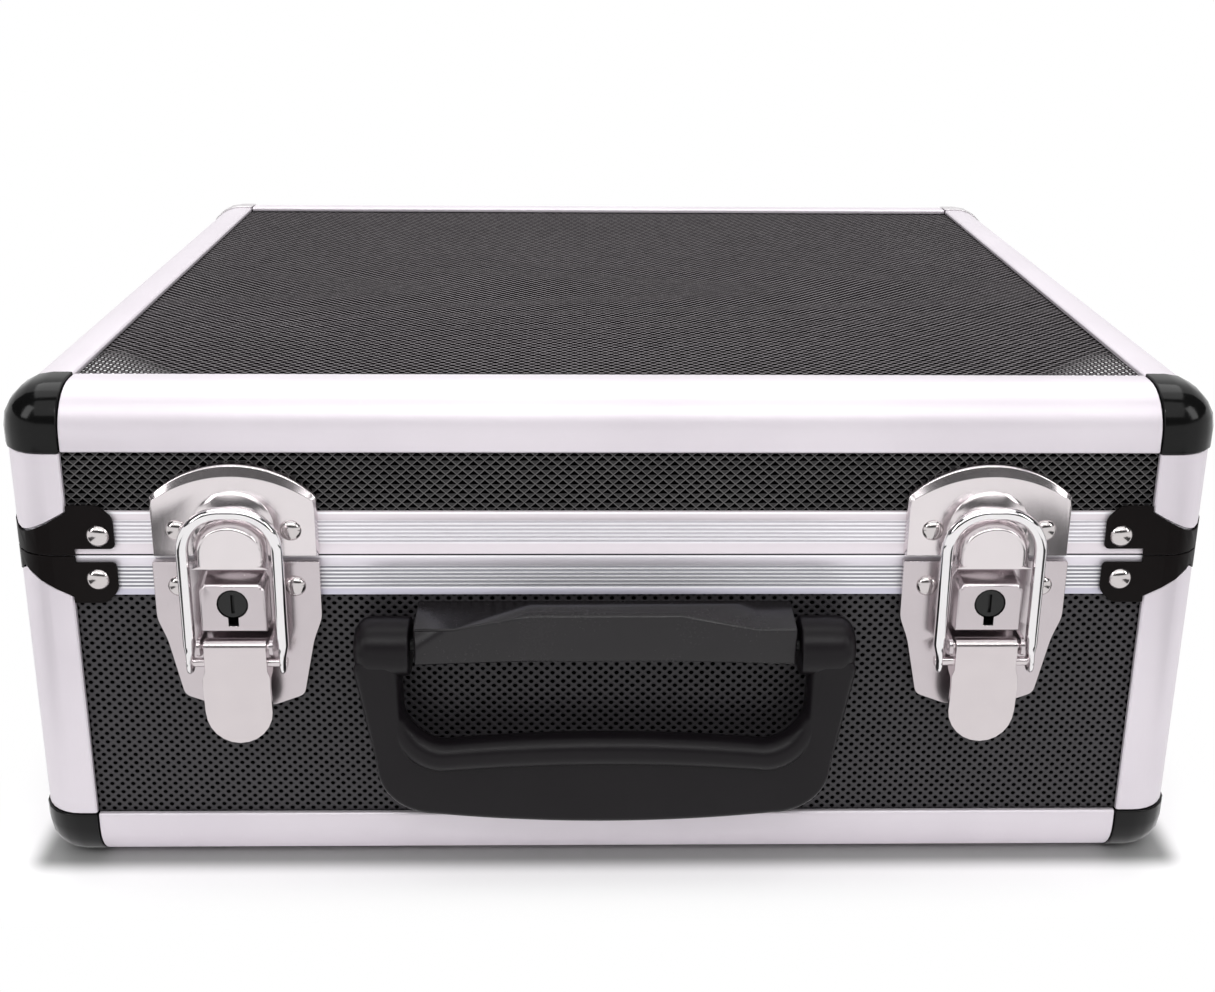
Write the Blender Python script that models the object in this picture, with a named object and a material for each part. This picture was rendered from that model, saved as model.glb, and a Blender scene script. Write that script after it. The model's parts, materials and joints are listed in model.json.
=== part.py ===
"""Hard case with a hinged lid, two over-centre draw latches with key locks, and a folding handle.

Lengths are in metres. X runs along the front, Y runs from the front to the rear, Z is up.
The origin is on the floor, midway between the frontmost and the rearmost point.
"""

import math

import bmesh
import bpy
from mathutils import Matrix, Vector

# Whole case
CASE_WIDTH = 0.320
CASE_DEPTH = 0.255
CASE_HEIGHT = 0.141
SEAM_SHARE = 0.678  # of the case's height
FIT_GAP = 0.0003  # clearance between neighbours that seat on each other
CUT_OVERRUN = 0.004  # how far a cutter runs past what it cuts

# Edge extrusion, one section for the horizontal edges and the uprights
EDGE_RADIUS = 0.012
EDGE_LEG = 0.0165
EDGE_SKIN = 0.0016
EDGE_INNER_SKIN = 0.0012
EDGE_LIP = 0.0005
BOARD_THICKNESS = 0.005
BOARD_GRIP = 0.0039  # how far a board enters an extrusion

# Die-cast ball corners
BALL_PROUD = 0.0005

# Seam bands, the two frames that meet where the case opens
BAND_RECESS = 0.0008
LID_BAND_HEIGHT = 0.0123
BASE_BAND_HEIGHT = 0.0117
BAND_GRIP = 0.0062  # how far a board enters a band
BAND_TONGUE_WIDTH = 0.0018
BAND_TONGUE_DEPTH = 0.0030
BAND_TONGUE_ROOM = 0.0007
RIB_GROOVE_WIDTH = 0.0006
RIB_GROOVE_DEPTH = 0.00035
RIB_GROOVE_PITCH = 0.0011
RIB_GROOVE_COUNT = 6
RIB_CENTRE_SHARE = 0.54

# Black seam corners, and the pointed ends of the uprights that they hold
SEAM_CORNER_PROUD = 0.0003
SEAM_CORNER_SHARE = 0.0897  # of the case's width
SEAM_CORNER_ROUND = 0.0013
SEAM_CORNER_HUMP = 0.0020  # how far a strap rises past the band's edge
SEAM_CORNER_SHOULDER = 0.0034  # length of the slope at a strap's end
SEAM_CORNER_SLOPE_DROP = 0.0016
SEAM_CORNER_STEP = 0.0018
SEAM_CORNER_STEP_REACH = 0.0180
LID_UPRIGHT_TIP = 0.0058  # how far the point reaches past the band's edge
BASE_UPRIGHT_TIP = 0.0070
LID_TIP_CURVE_SHARE = 1.7
BASE_TIP_CURVE_SHARE = 1.15

# Latches, with heights above or below the seam, and depths out from the case's front plane
LATCH_CENTRE_SHARE = 0.311  # of the case's width
LATCH_FACE = 0.0015
PLATE_EDGE = 0.0005
CATCH_HALF_WIDTH = 0.0218
CATCH_BOTTOM = 0.0003
CATCH_TOP_SHARE = 0.897  # of the lid's wall between the seam and the edge extrusion
CATCH_SIDE_SHARE = 0.664  # of the catch plate's height, as the next ones are
CATCH_ROUND = 0.0024
CATCH_FLANGE = 0.0024
CRESCENT_HALF_WIDTH = 0.0109
CRESCENT_BOTTOM = 0.0020
CRESCENT_TOP_SHARE = 0.748
CRESCENT_RISE = 0.0006
STRIKE_HALF_WIDTH = 0.0097
STRIKE_FACE = 0.0086
STRIKE_BEVEL = 0.0018
STRIKE_OVERHANG = 0.0003
STRIKE_CLEARANCE = 0.0004
LOCK_PLATE_TOP = 0.0011
LOCK_PLATE_HALF_WIDTH = 0.0220
LOCK_PLATE_SHOULDER = 0.0175
LOCK_PLATE_WAIST = 0.0240
LOCK_PLATE_WAIST_HALF_WIDTH = 0.0196
LOCK_PLATE_FOOT = 0.0406
LOCK_PLATE_FOOT_HALF_WIDTH = 0.0162
LOCK_PLATE_BOTTOM = 0.0437
LOCK_PLATE_KEEL_HALF_WIDTH = 0.0080
LOCK_PLATE_ROUND = 0.0016
HOUSING_HALF_WIDTH = 0.0086
HOUSING_TOP_HALF_WIDTH = 0.0070
HOUSING_FACE = 0.0082
HOUSING_TOP = 0.0034
HOUSING_WALL = 0.0011
HOUSING_SHOULDER = 0.0046
HOUSING_TOP_CORNER = 0.0018
HOUSING_EDGE = 0.0005
HOUSING_BOTTOM = 0.0182
PLUG_DROP = 0.0102
PLUG_RADIUS = 0.0038
PLUG_RECESS = 0.0002
PLUG_LENGTH = 0.0030
KEY_SLOT_WIDTH = 0.0008
KEY_SLOT_LENGTH = 0.0052
KEY_SLOT_DEPTH = 0.0012
KEY_NOTCH_HALF_WIDTH = 0.0013
KEY_NOTCH_REACH = 0.0063
CAM_LENGTH = 0.0046
CAM_HALF_WIDTH = 0.0016
CAM_THICKNESS = 0.0010

# Latch levers and the wire bails that they pull
LEVER_AXIS_DROP = 0.0228
LEVER_AXIS_OUT = 0.0072
LEVER_ROLL_RADIUS = 0.0022
LEVER_TOP_HALF_WIDTH = 0.0082
LEVER_HALF_WIDTH = 0.0089
LEVER_SHOULDER = 0.0063
LEVER_SHOULDER_HEIGHT = 0.0020
LEVER_TIP = 0.0275
LEVER_SHEET = 0.0013
LEVER_CROWN = 0.0006
LEVER_CROWN_DROP = 0.0111
LEVER_HOLLOW_DROP = 0.0200
LEVER_CHEEK_DEPTH = 0.0062
LEVER_CHEEK_DROP = 0.0076
LEVER_CHEEK_WALL = 0.0013
TRUNNION_RADIUS = 0.0010
EAR_RADIUS = 0.0026
EAR_INSIDE = 0.0090
EAR_OUTSIDE = 0.0101
BAIL_PIN_DROP = 0.0047
BAIL_PIN_RADIUS = 0.0012
BAIL_PIN_REACH = 0.0134
BAIL_WIRE_RADIUS = 0.00165
BAIL_HALF_WIDTH = 0.01225
BAIL_TOP_SHARE = 0.584  # of the catch plate's height
BAIL_BEND_RADIUS = 0.0105
BAIL_EYE_RADIUS = 0.0030

# Handle and its bracket
HANDLE_OFFSET = -0.0019  # of the handle's middle from the case's
HANDLE_AXIS_DROP = 0.0230
HANDLE_BOSS_RADIUS = 0.0078
HANDLE_BOSS_CLEARANCE = 0.0005
HANDLE_BOSS_LENGTH = 0.0147
HANDLE_BOSS_ROUND = 0.0045
HANDLE_SHARE = 0.667  # of the latches' distance from the middle
HANDLE_ARM_WIDTH = 0.0125
HANDLE_DROP = 0.0496  # from the pin to the lower corners of the outline
HANDLE_BOW = 0.0025
HANDLE_TAPER = 0.0052  # how far each side leans in from the boss to the lower corner
HANDLE_CORNER_WIDTH = 0.0150
HANDLE_CORNER_HEIGHT = 0.0145
GRIP_TOP_DROP = 0.0268
GRIP_RISE = 0.0020
GRIP_CORNER_WIDTH = 0.0115
GRIP_CORNER_HEIGHT = 0.0105
HANDLE_BACK = 0.0006
HANDLE_ARM_FRONT = 0.0138
HANDLE_FLANGE_FRONT = 0.0108
GRIP_ROLL_RISE = 0.0030
GRIP_ROLL_WIDTH = 0.0090
GRIP_ROLL_BACK_DEGREES = 35
HANDLE_BACK_SLOPE = 0.0056  # how far the inner edge slopes away behind the grip roll
HANDLE_EDGE = 0.0020
HANDLE_PIN_RADIUS = 0.0015
HANDLE_PIN_COVER = 0.0060  # how far the pin ends inside the handle's side
BRACKET_CLEARANCE = 0.0014
BRACKET_FRONT = 0.0120
BRACKET_SHOULDER = 0.0155
BRACKET_SHOULDER_SHARE = 0.795  # of the bracket's half width
BRACKET_CROWN = 0.0115
BRACKET_CROWN_SHARE = 0.398
BRACKET_BACK_TOP = 0.0140
BRACKET_BOTTOM = 0.0262
BRACKET_BOTTOM_RISE = 0.0011
BRACKET_EDGE = 0.0006

# Rear hinge
HINGE_SHARE = 0.78  # of the case's width
HINGE_LEAF = 0.0010
HINGE_KNUCKLE_RADIUS = 0.0024
HINGE_KNUCKLE_COUNT = 11
HINGE_PIN_RADIUS = 0.0011
HINGE_LEAF_MARGIN = 0.0004

# Smoothness
EDGE_STEPS = 8
BALL_STEPS = 5
BAND_STEPS = 5
TIP_STEPS = 8
CORNER_STEPS = 3
ARCH_STEPS = 10
ROUND_STEPS = 20
SMALL_ROUND_STEPS = 12
WIRE_SIDES = 8
BEND_STEPS = 6
HANDLE_ARM_STEPS = 3
HANDLE_CORNER_STEPS = 5
HANDLE_GRIP_STEPS = 5
HANDLE_ROLL_STEPS = 7
CURL_STEPS = 10
CURL_SWEEP_DEGREES = 285
SMOOTH_DEGREES = 32
MERGE_SHARE = 0.005  # of the fit gap, under which cut corners are one

# Places that follow from the sizes above
BOARD_FACE = EDGE_SKIN + FIT_GAP
SLOT_BACK = EDGE_SKIN + BOARD_THICKNESS + 2 * FIT_GAP
EDGE_INSIDE = SLOT_BACK + EDGE_INNER_SKIN
SLOT_END = EDGE_LEG - BOARD_GRIP - FIT_GAP
BOARD_INSET = SLOT_END + FIT_GAP
EDGE_START = EDGE_LEG + FIT_GAP
SEAM_HEIGHT = SEAM_SHARE * CASE_HEIGHT
LID_HEIGHT = CASE_HEIGHT - SEAM_HEIGHT
LID_BAND_TOP = SEAM_HEIGHT + LID_BAND_HEIGHT
BASE_BAND_BOTTOM = SEAM_HEIGHT - BASE_BAND_HEIGHT
SEAM_CORNER_REACH = SEAM_CORNER_SHARE * CASE_WIDTH
LATCH_CENTRE = LATCH_CENTRE_SHARE * CASE_WIDTH
CATCH_TOP = CATCH_TOP_SHARE * (LID_HEIGHT - EDGE_LEG)
CATCH_SIDE_TOP = CATCH_SIDE_SHARE * CATCH_TOP
CRESCENT_TOP = CRESCENT_TOP_SHARE * CATCH_TOP
BAIL_TOP = BAIL_TOP_SHARE * CATCH_TOP
LATCH_BACK_ON_BAND = FIT_GAP - BAND_RECESS
LATCH_BACK_ON_BOARD = FIT_GAP - BOARD_FACE
HANDLE_HALF_WIDTH = HANDLE_SHARE * LATCH_CENTRE
HANDLE_BOSS_INSIDE = HANDLE_HALF_WIDTH - HANDLE_BOSS_LENGTH
HANDLE_PIN_END = HANDLE_HALF_WIDTH - HANDLE_PIN_COVER
BRACKET_HALF_WIDTH = HANDLE_BOSS_INSIDE - BRACKET_CLEARANCE
BRACKET_SHOULDER_HALF_WIDTH = BRACKET_SHOULDER_SHARE * BRACKET_HALF_WIDTH
BRACKET_CROWN_HALF_WIDTH = BRACKET_CROWN_SHARE * BRACKET_HALF_WIDTH
HANDLE_AXIS_OUT = HANDLE_BOSS_RADIUS + HANDLE_BOSS_CLEARANCE - BOARD_FACE
HINGE_LENGTH = HINGE_SHARE * CASE_WIDTH
HINGE_AXIS_OUT = HINGE_KNUCKLE_RADIUS + FIT_GAP - BAND_RECESS
FRONT_REACH = HANDLE_AXIS_OUT + HANDLE_BOSS_RADIUS
REAR_REACH = HINGE_AXIS_OUT + HINGE_KNUCKLE_RADIUS
CASE_Y = (FRONT_REACH - REAR_REACH) / 2
FRONT_Y = CASE_Y - CASE_DEPTH / 2
REAR_Y = CASE_Y + CASE_DEPTH / 2

CORNERS = {
    "front_left": (-1, -1),
    "front_right": (1, -1),
    "rear_right": (1, 1),
    "rear_left": (-1, 1),
}


def finish(name, colour, roughness, metallic=0.0):
    """A plain material with the piece's own colour and gloss."""
    made = bpy.data.materials.new(name)
    made.use_nodes = True
    shader = made.node_tree.nodes["Principled BSDF"]
    shader.inputs["Base Color"].default_value = (*colour, 1)
    shader.inputs["Roughness"].default_value = roughness
    shader.inputs["Metallic"].default_value = metallic
    return made


# Outlines, as lists of points in a plane

def arc(centre, radius, start, end, steps):
    """Points on an arc, from one angle to another in degrees, both ends included."""
    points = []
    for step in range(steps + 1):
        angle = math.radians(start + (end - start) * step / steps)
        points.append((centre[0] + radius * math.cos(angle), centre[1] + radius * math.sin(angle)))
    return points


def oval_arc(centre, half_width, half_height, start, end, steps):
    """Points on part of an ellipse, both ends included."""
    circle = arc((0, 0), 1, start, end, steps)
    return [(centre[0] + half_width * x, centre[1] + half_height * y) for x, y in circle]


def rounded(corners, steps=CORNER_STEPS):
    """A closed outline whose corners (x, y, reach) are rounded from reach before to reach after."""
    points = []
    for index, (x, y, reach) in enumerate(corners):
        here = Vector((x, y))
        if reach == 0:
            points.append((x, y))
            continue
        before = here - Vector(corners[index - 1][:2])
        after = Vector(corners[(index + 1) % len(corners)][:2]) - here
        start = here - before.normalized() * min(reach, before.length / 2)
        end = here + after.normalized() * min(reach, after.length / 2)
        for step in range(steps + 1):
            share = step / steps
            bent = start.lerp(here, share).lerp(here.lerp(end, share), share)
            points.append((bent.x, bent.y))
    return points


def mirrored(points):
    """The outline's right half followed by its left half; points on the middle line stay single."""
    left = [(-x, y, *rest) for x, y, *rest in reversed(points) if x > 0]
    return [tuple(point) for point in points] + left


# Solids, as bmeshes

def prism(outline, low, high):
    """An outline in local X and Y, extruded along local Z."""
    shape = bmesh.new()
    floor = shape.faces.new([shape.verts.new((x, y, low)) for x, y in outline])
    grown = bmesh.ops.extrude_face_region(shape, geom=[floor])
    lifted = [item for item in grown["geom"] if isinstance(item, bmesh.types.BMVert)]
    bmesh.ops.translate(shape, verts=lifted, vec=(0, 0, high - low))
    bmesh.ops.recalc_face_normals(shape, faces=shape.faces)
    return shape


def block(low, high):
    """A box between two opposite corners."""
    outline = [(low[0], low[1]), (high[0], low[1]), (high[0], high[1]), (low[0], high[1])]
    return prism(outline, low[2], high[2])


def loft(rings, closed=False):
    """Rings of points joined one to the next, closed end to end or filled at both ends."""
    shape = bmesh.new()
    loops = [[shape.verts.new(point) for point in ring] for ring in rings]
    following = loops[1:] + loops[:1] if closed else loops[1:]
    for first, second in zip(loops, following):
        for index in range(len(first)):
            turn = (index + 1) % len(first)
            shape.faces.new((first[index], first[turn], second[turn], second[index]))
    if not closed:
        shape.faces.new(reversed(loops[0]))
        shape.faces.new(loops[-1])
    bmesh.ops.recalc_face_normals(shape, faces=shape.faces)
    return shape


def placed(shape, frame):
    """The solid moved into a frame, turned right side out again if the frame mirrors it."""
    bmesh.ops.transform(shape, verts=shape.verts, matrix=frame)
    if frame.determinant() < 0:
        bmesh.ops.reverse_faces(shape, faces=shape.faces)
    return shape


def frame_of(first, second, third, origin):
    """The frame whose local X, Y and Z point along three world directions."""
    turn = Matrix((first, second, third)).transposed().to_4x4()
    return Matrix.Translation(origin) @ turn


def rod(centre, radius, low, high, steps=ROUND_STEPS):
    """A cylinder along X round a point (y, z), between two places on X."""
    circle = arc((0, 0), radius, 0, 360, steps)[:-1]
    frame = frame_of((0, 1, 0), (0, 0, 1), (1, 0, 0), (0, centre[0], centre[1]))
    return placed(prism(circle, low, high), frame)


def softened(shape, width, chosen, segments=2):
    """The solid with the chosen edges rounded."""
    edges = [edge for edge in shape.edges if chosen(edge.verts[0].co, edge.verts[1].co)]
    bmesh.ops.bevel(
        shape, geom=edges, offset=width, offset_type="OFFSET", segments=segments,
        profile=0.5, affect="EDGES", material=-1, clamp_overlap=True,
    )
    return shape


def combined(body, tool, operation):
    """One solid made from two by a Boolean; both are used up."""
    holders = []
    for shape in (body, tool):
        mesh = bpy.data.meshes.new("worked")
        shape.to_mesh(mesh)
        shape.free()
        holder = bpy.data.objects.new("worked", mesh)
        bpy.context.collection.objects.link(holder)
        holders.append(holder)
    step = holders[0].modifiers.new("step", "BOOLEAN")
    step.object = holders[1]
    step.operation = operation
    step.solver = "EXACT"
    bpy.context.view_layer.update()
    worked = holders[0].evaluated_get(bpy.context.evaluated_depsgraph_get())
    result = bmesh.new()
    result.from_mesh(worked.to_mesh())
    bmesh.ops.remove_doubles(result, verts=result.verts, dist=FIT_GAP * MERGE_SHARE)
    for holder in holders:
        mesh = holder.data
        bpy.data.objects.remove(holder)
        bpy.data.meshes.remove(mesh)
    return result


def carved(body, *tools):
    for tool in tools:
        body = combined(body, tool, "DIFFERENCE")
    return body


def joined(body, *tools):
    for tool in tools:
        body = combined(body, tool, "UNION")
    return body


# Objects

def world_place(thing):
    """Where an object's origin lies, adding up the places of its carriers."""
    place = Vector(thing.location)
    while thing.parent:
        thing = thing.parent
        place += thing.location
    return place


def carried(thing, place, carrier):
    """The object with its origin at a world place, parented to its carrier."""
    bpy.context.collection.objects.link(thing)
    thing.location = place
    if carrier:
        thing.parent = carrier
        thing.location = Vector(place) - world_place(carrier)
    return thing


def piece(name, shape, material, place, carrier):
    """A named object from a solid in world coordinates, with its origin at place."""
    bmesh.ops.translate(shape, verts=shape.verts, vec=-Vector(place))
    mesh = bpy.data.meshes.new(name)
    shape.to_mesh(mesh)
    shape.free()
    mesh.materials.append(material)
    mesh.shade_smooth()
    mesh.set_sharp_from_angle(angle=math.radians(SMOOTH_DEGREES))
    return carried(bpy.data.objects.new(name, mesh), place, carrier)


def axis_mark(name, place, carrier=None):
    """An empty that carries other pieces."""
    return carried(bpy.data.objects.new(name, None), place, carrier)


# Frames of the case: local X and Y run inwards from a corner's two outer planes, Z is up

def corner_frame(side_x, side_y):
    origin = (side_x * CASE_WIDTH / 2, CASE_Y + side_y * CASE_DEPTH / 2, 0)
    return frame_of((-side_x, 0, 0), (0, -side_y, 0), (0, 0, 1), origin)


def edge_section():
    """The extrusion's section, from one outer plane round the bend to the other and back inside."""
    bend = arc((EDGE_RADIUS, EDGE_RADIUS), EDGE_RADIUS, 180, 270, EDGE_STEPS)
    leg = [
        (EDGE_LEG - EDGE_LIP, 0),
        (EDGE_LEG, EDGE_LIP),
        (EDGE_LEG, EDGE_SKIN),
        (SLOT_END, EDGE_SKIN),
        (SLOT_END, SLOT_BACK),
        (EDGE_LEG, SLOT_BACK),
        (EDGE_LEG, EDGE_INSIDE),
    ]
    other_leg = [(across, along) for along, across in reversed(leg)]
    return bend + leg + [(EDGE_INSIDE, EDGE_INSIDE)] + other_leg


def build_edges(layer, level, up, material, carrier):
    """Four horizontal extrusions round the bottom or the top; up points into the case."""
    runs = {
        "front": ((0, FRONT_Y), (0, 1, 0), (1, 0, 0), CASE_WIDTH),
        "rear": ((0, REAR_Y), (0, -1, 0), (1, 0, 0), CASE_WIDTH),
        "left": ((-CASE_WIDTH / 2, CASE_Y), (1, 0, 0), (0, 1, 0), CASE_DEPTH),
        "right": ((CASE_WIDTH / 2, CASE_Y), (-1, 0, 0), (0, 1, 0), CASE_DEPTH),
    }
    for side, (spot, inward, along, length) in runs.items():
        place = (*spot, level)
        half_run = length / 2 - EDGE_START
        shape = prism(edge_section(), -half_run, half_run)
        placed(shape, frame_of(inward, (0, 0, up), along, place))
        piece(f"{layer}_edge_{side}", shape, material, place, carrier)


def ball_corner(bottom_proud):
    """A cap for three meeting extrusions, with its outer corner at the local origin."""
    shape = block((-BALL_PROUD, -BALL_PROUD, -bottom_proud), (EDGE_LEG, EDGE_LEG, EDGE_LEG))
    outer = Vector((-BALL_PROUD, -BALL_PROUD, -bottom_proud))

    def meets_the_corner(first, second):
        return min((first - outer).length, (second - outer).length) < FIT_GAP

    softened(shape, EDGE_RADIUS, meets_the_corner, BALL_STEPS)
    far = EDGE_LEG + CUT_OVERRUN
    inside = block((EDGE_INSIDE,) * 3, (far,) * 3)
    slots = []
    for axis in range(3):
        low = [SLOT_END] * 3
        low[axis] = EDGE_SKIN
        slots.append(block(low, (far,) * 3))
    return carved(shape, inside, *slots)


def bent_strip(outer, inner, reach):
    """The section of a strip bent round a corner, between two depths behind the outer planes."""
    centre = (EDGE_RADIUS, EDGE_RADIUS)
    outside = arc(centre, EDGE_RADIUS - outer, 270, 180, BAND_STEPS)
    inside = arc(centre, EDGE_RADIUS - inner, 180, 270, BAND_STEPS)
    return [(reach, outer)] + outside + [(outer, reach), (inner, reach)] + inside + [(reach, inner)]


def behind_skin(depth, reach):
    """The section of everything deeper than a bent skin, out to a reach."""
    bend = arc((EDGE_RADIUS, EDGE_RADIUS), EDGE_RADIUS - depth, 270, 180, BAND_STEPS)
    return [(reach, depth)] + bend + [(depth, reach), (reach, reach)]


def tip_cutter(edge, tip, toward, power, limit):
    """A cutter across the corner's diagonal, bounded by the pointed curve of an upright's end.

    edge and tip are heights at the legs' edges and on the diagonal; toward is the side on which
    the cutter lies, 1 for up and -1 for down; limit is its half width as a share of the leg's.
    """
    half = EDGE_LEG / math.sqrt(2)
    curve = []
    for step in range(-TIP_STEPS - 1, TIP_STEPS + 2):
        share = max(-limit, min(step / TIP_STEPS, limit))
        curve.append((share * half, tip + (edge - tip) * abs(share) ** power))
    end = (max if toward > 0 else min)(edge, tip) + toward * EDGE_LEG
    outline = curve + [(curve[-1][0], end), (curve[0][0], end)]
    diagonal = 1 / math.sqrt(2)
    frame = frame_of((diagonal, -diagonal, 0), (0, 0, 1), (-diagonal, -diagonal, 0), (0, 0, 0))
    return placed(prism(outline, -2 * EDGE_LEG, CUT_OVERRUN), frame)


def upright(end_level, band_edge, tip, power):
    """A corner upright from end_level to the band, with its skin pointed past the band's edge."""
    away = 1 if band_edge < end_level else -1
    shape = prism(edge_section(), *sorted((end_level, tip - away * CUT_OVERRUN)))
    band_clear = band_edge + away * FIT_GAP
    core_levels = sorted((band_clear, tip - away * 2 * CUT_OVERRUN))
    core = prism(behind_skin(BAND_RECESS - FIT_GAP, EDGE_LEG + CUT_OVERRUN), *core_levels)
    past_the_leg = 1 + 1 / TIP_STEPS
    return carved(shape, core, tip_cutter(band_clear, tip, -away, power, past_the_leg))


def seam_corner(seam_side, band_edge, tip, power):
    """A black strip round the corner over the band, humped past its edge and notched for the upright."""
    away = 1 if band_edge > seam_side else -1
    crest = band_edge + away * SEAM_CORNER_HUMP
    slope_end = band_edge - away * SEAM_CORNER_SLOPE_DROP
    depths = (-SEAM_CORNER_PROUD, BAND_RECESS - FIT_GAP)
    shape = prism(bent_strip(*depths, SEAM_CORNER_REACH), *sorted((seam_side, crest)))
    far = SEAM_CORNER_REACH + CUT_OVERRUN
    shoulder = SEAM_CORNER_REACH - SEAM_CORNER_SHOULDER
    past_seam, past_crest = seam_side - away * CUT_OVERRUN, crest + away * CUT_OVERRUN
    step = seam_side + away * SEAM_CORNER_STEP
    outlines = (
        [(SEAM_CORNER_STEP_REACH, past_seam), (far, past_seam), (far, step), (SEAM_CORNER_STEP_REACH, step)],
        [(shoulder, crest), (SEAM_CORNER_REACH, slope_end), (far, slope_end), (far, past_crest),
         (shoulder, past_crest)],
    )
    leg_frames = (
        frame_of((1, 0, 0), (0, 0, 1), (0, 1, 0), (0, 0, 0)),
        frame_of((0, 1, 0), (0, 0, 1), (1, 0, 0), (0, 0, 0)),
    )
    for outline in outlines:
        for frame in leg_frames:
            shape = carved(shape, placed(prism(outline, -CUT_OVERRUN, CUT_OVERRUN), frame))

    def crosses_an_end(first, second):
        at_end = min(max(first.x, first.y), max(second.x, second.y)) > shoulder - FIT_GAP
        return at_end and abs(first.z - second.z) < FIT_GAP and (first - second).length < EDGE_SKIN

    softened(shape, SEAM_CORNER_ROUND, crosses_an_end, CORNER_STEPS)
    limit = (EDGE_START + FIT_GAP / 2) / EDGE_LEG
    return carved(shape, tip_cutter(band_edge, tip - away * 2 * FIT_GAP, away, power, limit))


def build_corners(layer, levels, materials, carrier):
    """The four uprights, ball corners and seam corners of the base or the lid."""
    end, seam_side, band_edge, tip, power = levels
    flip = 1 if layer == "base" else -1
    for corner, (side_x, side_y) in CORNERS.items():
        frame = corner_frame(side_x, side_y)
        place = frame.translation + Vector((0, 0, end))
        post = placed(upright(end + flip * EDGE_START, band_edge, tip, power), frame)
        piece(f"{layer}_upright_{corner}", post, materials["edge"], place, carrier)
        ball = ball_corner(0 if layer == "base" else BALL_PROUD)
        ball_frame = frame @ Matrix.Translation((0, 0, end)) @ Matrix.Diagonal((1, 1, flip, 1))
        cap = materials["silver_corner" if layer == "lid" and side_y > 0 else "corner"]
        piece(f"{layer}_ball_corner_{corner}", placed(ball, ball_frame), cap, place, carrier)
        strip = placed(seam_corner(seam_side, band_edge, tip, power), frame)
        strip_place = frame.translation + Vector((0, 0, seam_side))
        piece(f"{layer}_seam_corner_{corner}", strip, materials["corner"], strip_place, carrier)


def build_boards(layer, outer_level, up, band_slot, material, carrier):
    """The bottom or top board, and the four wall boards between it and the band."""
    half_x = CASE_WIDTH / 2 - BOARD_INSET
    half_y = CASE_DEPTH / 2 - BOARD_INSET
    flat = sorted((outer_level + up * BOARD_FACE, outer_level + up * (BOARD_FACE + BOARD_THICKNESS)))
    name = "bottom" if layer == "base" else "top"
    board = block((-half_x, CASE_Y - half_y, flat[0]), (half_x, CASE_Y + half_y, flat[1]))
    piece(f"{layer}_{name}_board", board, material, (0, CASE_Y, flat[0]), carrier)
    low, high = sorted((outer_level + up * BOARD_INSET, band_slot))
    for side, across in (("front", -1), ("rear", 1)):
        faces = sorted(CASE_Y + across * (CASE_DEPTH / 2 - BOARD_FACE - depth)
                       for depth in (0, BOARD_THICKNESS))
        board = block((-half_x, faces[0], low), (half_x, faces[1], high))
        piece(f"{layer}_{side}_board", board, material, (0, faces[0], low), carrier)
    for side, across in (("left", -1), ("right", 1)):
        faces = sorted(across * (CASE_WIDTH / 2 - BOARD_FACE - depth) for depth in (0, BOARD_THICKNESS))
        board = block((faces[0], CASE_Y - half_y, low), (faces[1], CASE_Y + half_y, high))
        piece(f"{layer}_{side}_board", board, material, (faces[0], CASE_Y, low), carrier)


def band_section(height, tongue):
    """The band's section as (depth behind the outer plane, distance from the seam)."""
    seam_face = FIT_GAP / 2
    slot_floor = height - BAND_GRIP
    section = [(BAND_RECESS, seam_face)]
    first = height * RIB_CENTRE_SHARE - RIB_GROOVE_PITCH * (RIB_GROOVE_COUNT - 1) / 2
    for index in range(RIB_GROOVE_COUNT):
        middle = first + index * RIB_GROOVE_PITCH
        section += [
            (BAND_RECESS, middle - RIB_GROOVE_WIDTH / 2),
            (BAND_RECESS + RIB_GROOVE_DEPTH, middle),
            (BAND_RECESS, middle + RIB_GROOVE_WIDTH / 2),
        ]
    section += [
        (BAND_RECESS, height),
        (EDGE_SKIN, height),
        (EDGE_SKIN, slot_floor),
        (SLOT_BACK, slot_floor),
        (SLOT_BACK, height),
        (EDGE_INSIDE, height),
        (EDGE_INSIDE, seam_face),
    ]
    middle = (EDGE_SKIN + SLOT_BACK) / 2
    half, end = BAND_TONGUE_WIDTH / 2, -BAND_TONGUE_DEPTH
    if not tongue:
        half, end = half + BAND_TONGUE_ROOM, BAND_TONGUE_DEPTH + BAND_TONGUE_ROOM
    section += [
        (middle + half, seam_face),
        (middle + half, end),
        (middle - half, end),
        (middle - half, seam_face),
    ]
    return section


def build_band(layer, height, up, material, carrier):
    """The rounded frame at the seam, its section swept once round the case."""
    section = band_section(height, tongue=layer == "lid")
    rings = []
    for side_x, side_y, start in ((1, 1, 0), (-1, 1, 90), (-1, -1, 180), (1, -1, 270)):
        centre_x = side_x * (CASE_WIDTH / 2 - EDGE_RADIUS)
        centre_y = CASE_Y + side_y * (CASE_DEPTH / 2 - EDGE_RADIUS)
        for step in range(BAND_STEPS + 1):
            angle = math.radians(start + 90 * step / BAND_STEPS)
            ring = []
            for depth, rise in section:
                out = EDGE_RADIUS - depth
                ring.append((
                    centre_x + out * math.cos(angle),
                    centre_y + out * math.sin(angle),
                    SEAM_HEIGHT + up * rise,
                ))
            rings.append(ring)
    piece(f"{layer}_band", loft(rings, closed=True), material, (0, CASE_Y, SEAM_HEIGHT), carrier)

# Latches. Local X runs across the latch, local Y up from the seam, local Z out from the front plane

def latch_frame(centre):
    return frame_of((1, 0, 0), (0, 0, 1), (0, -1, 0), (centre, FRONT_Y, SEAM_HEIGHT))


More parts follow.
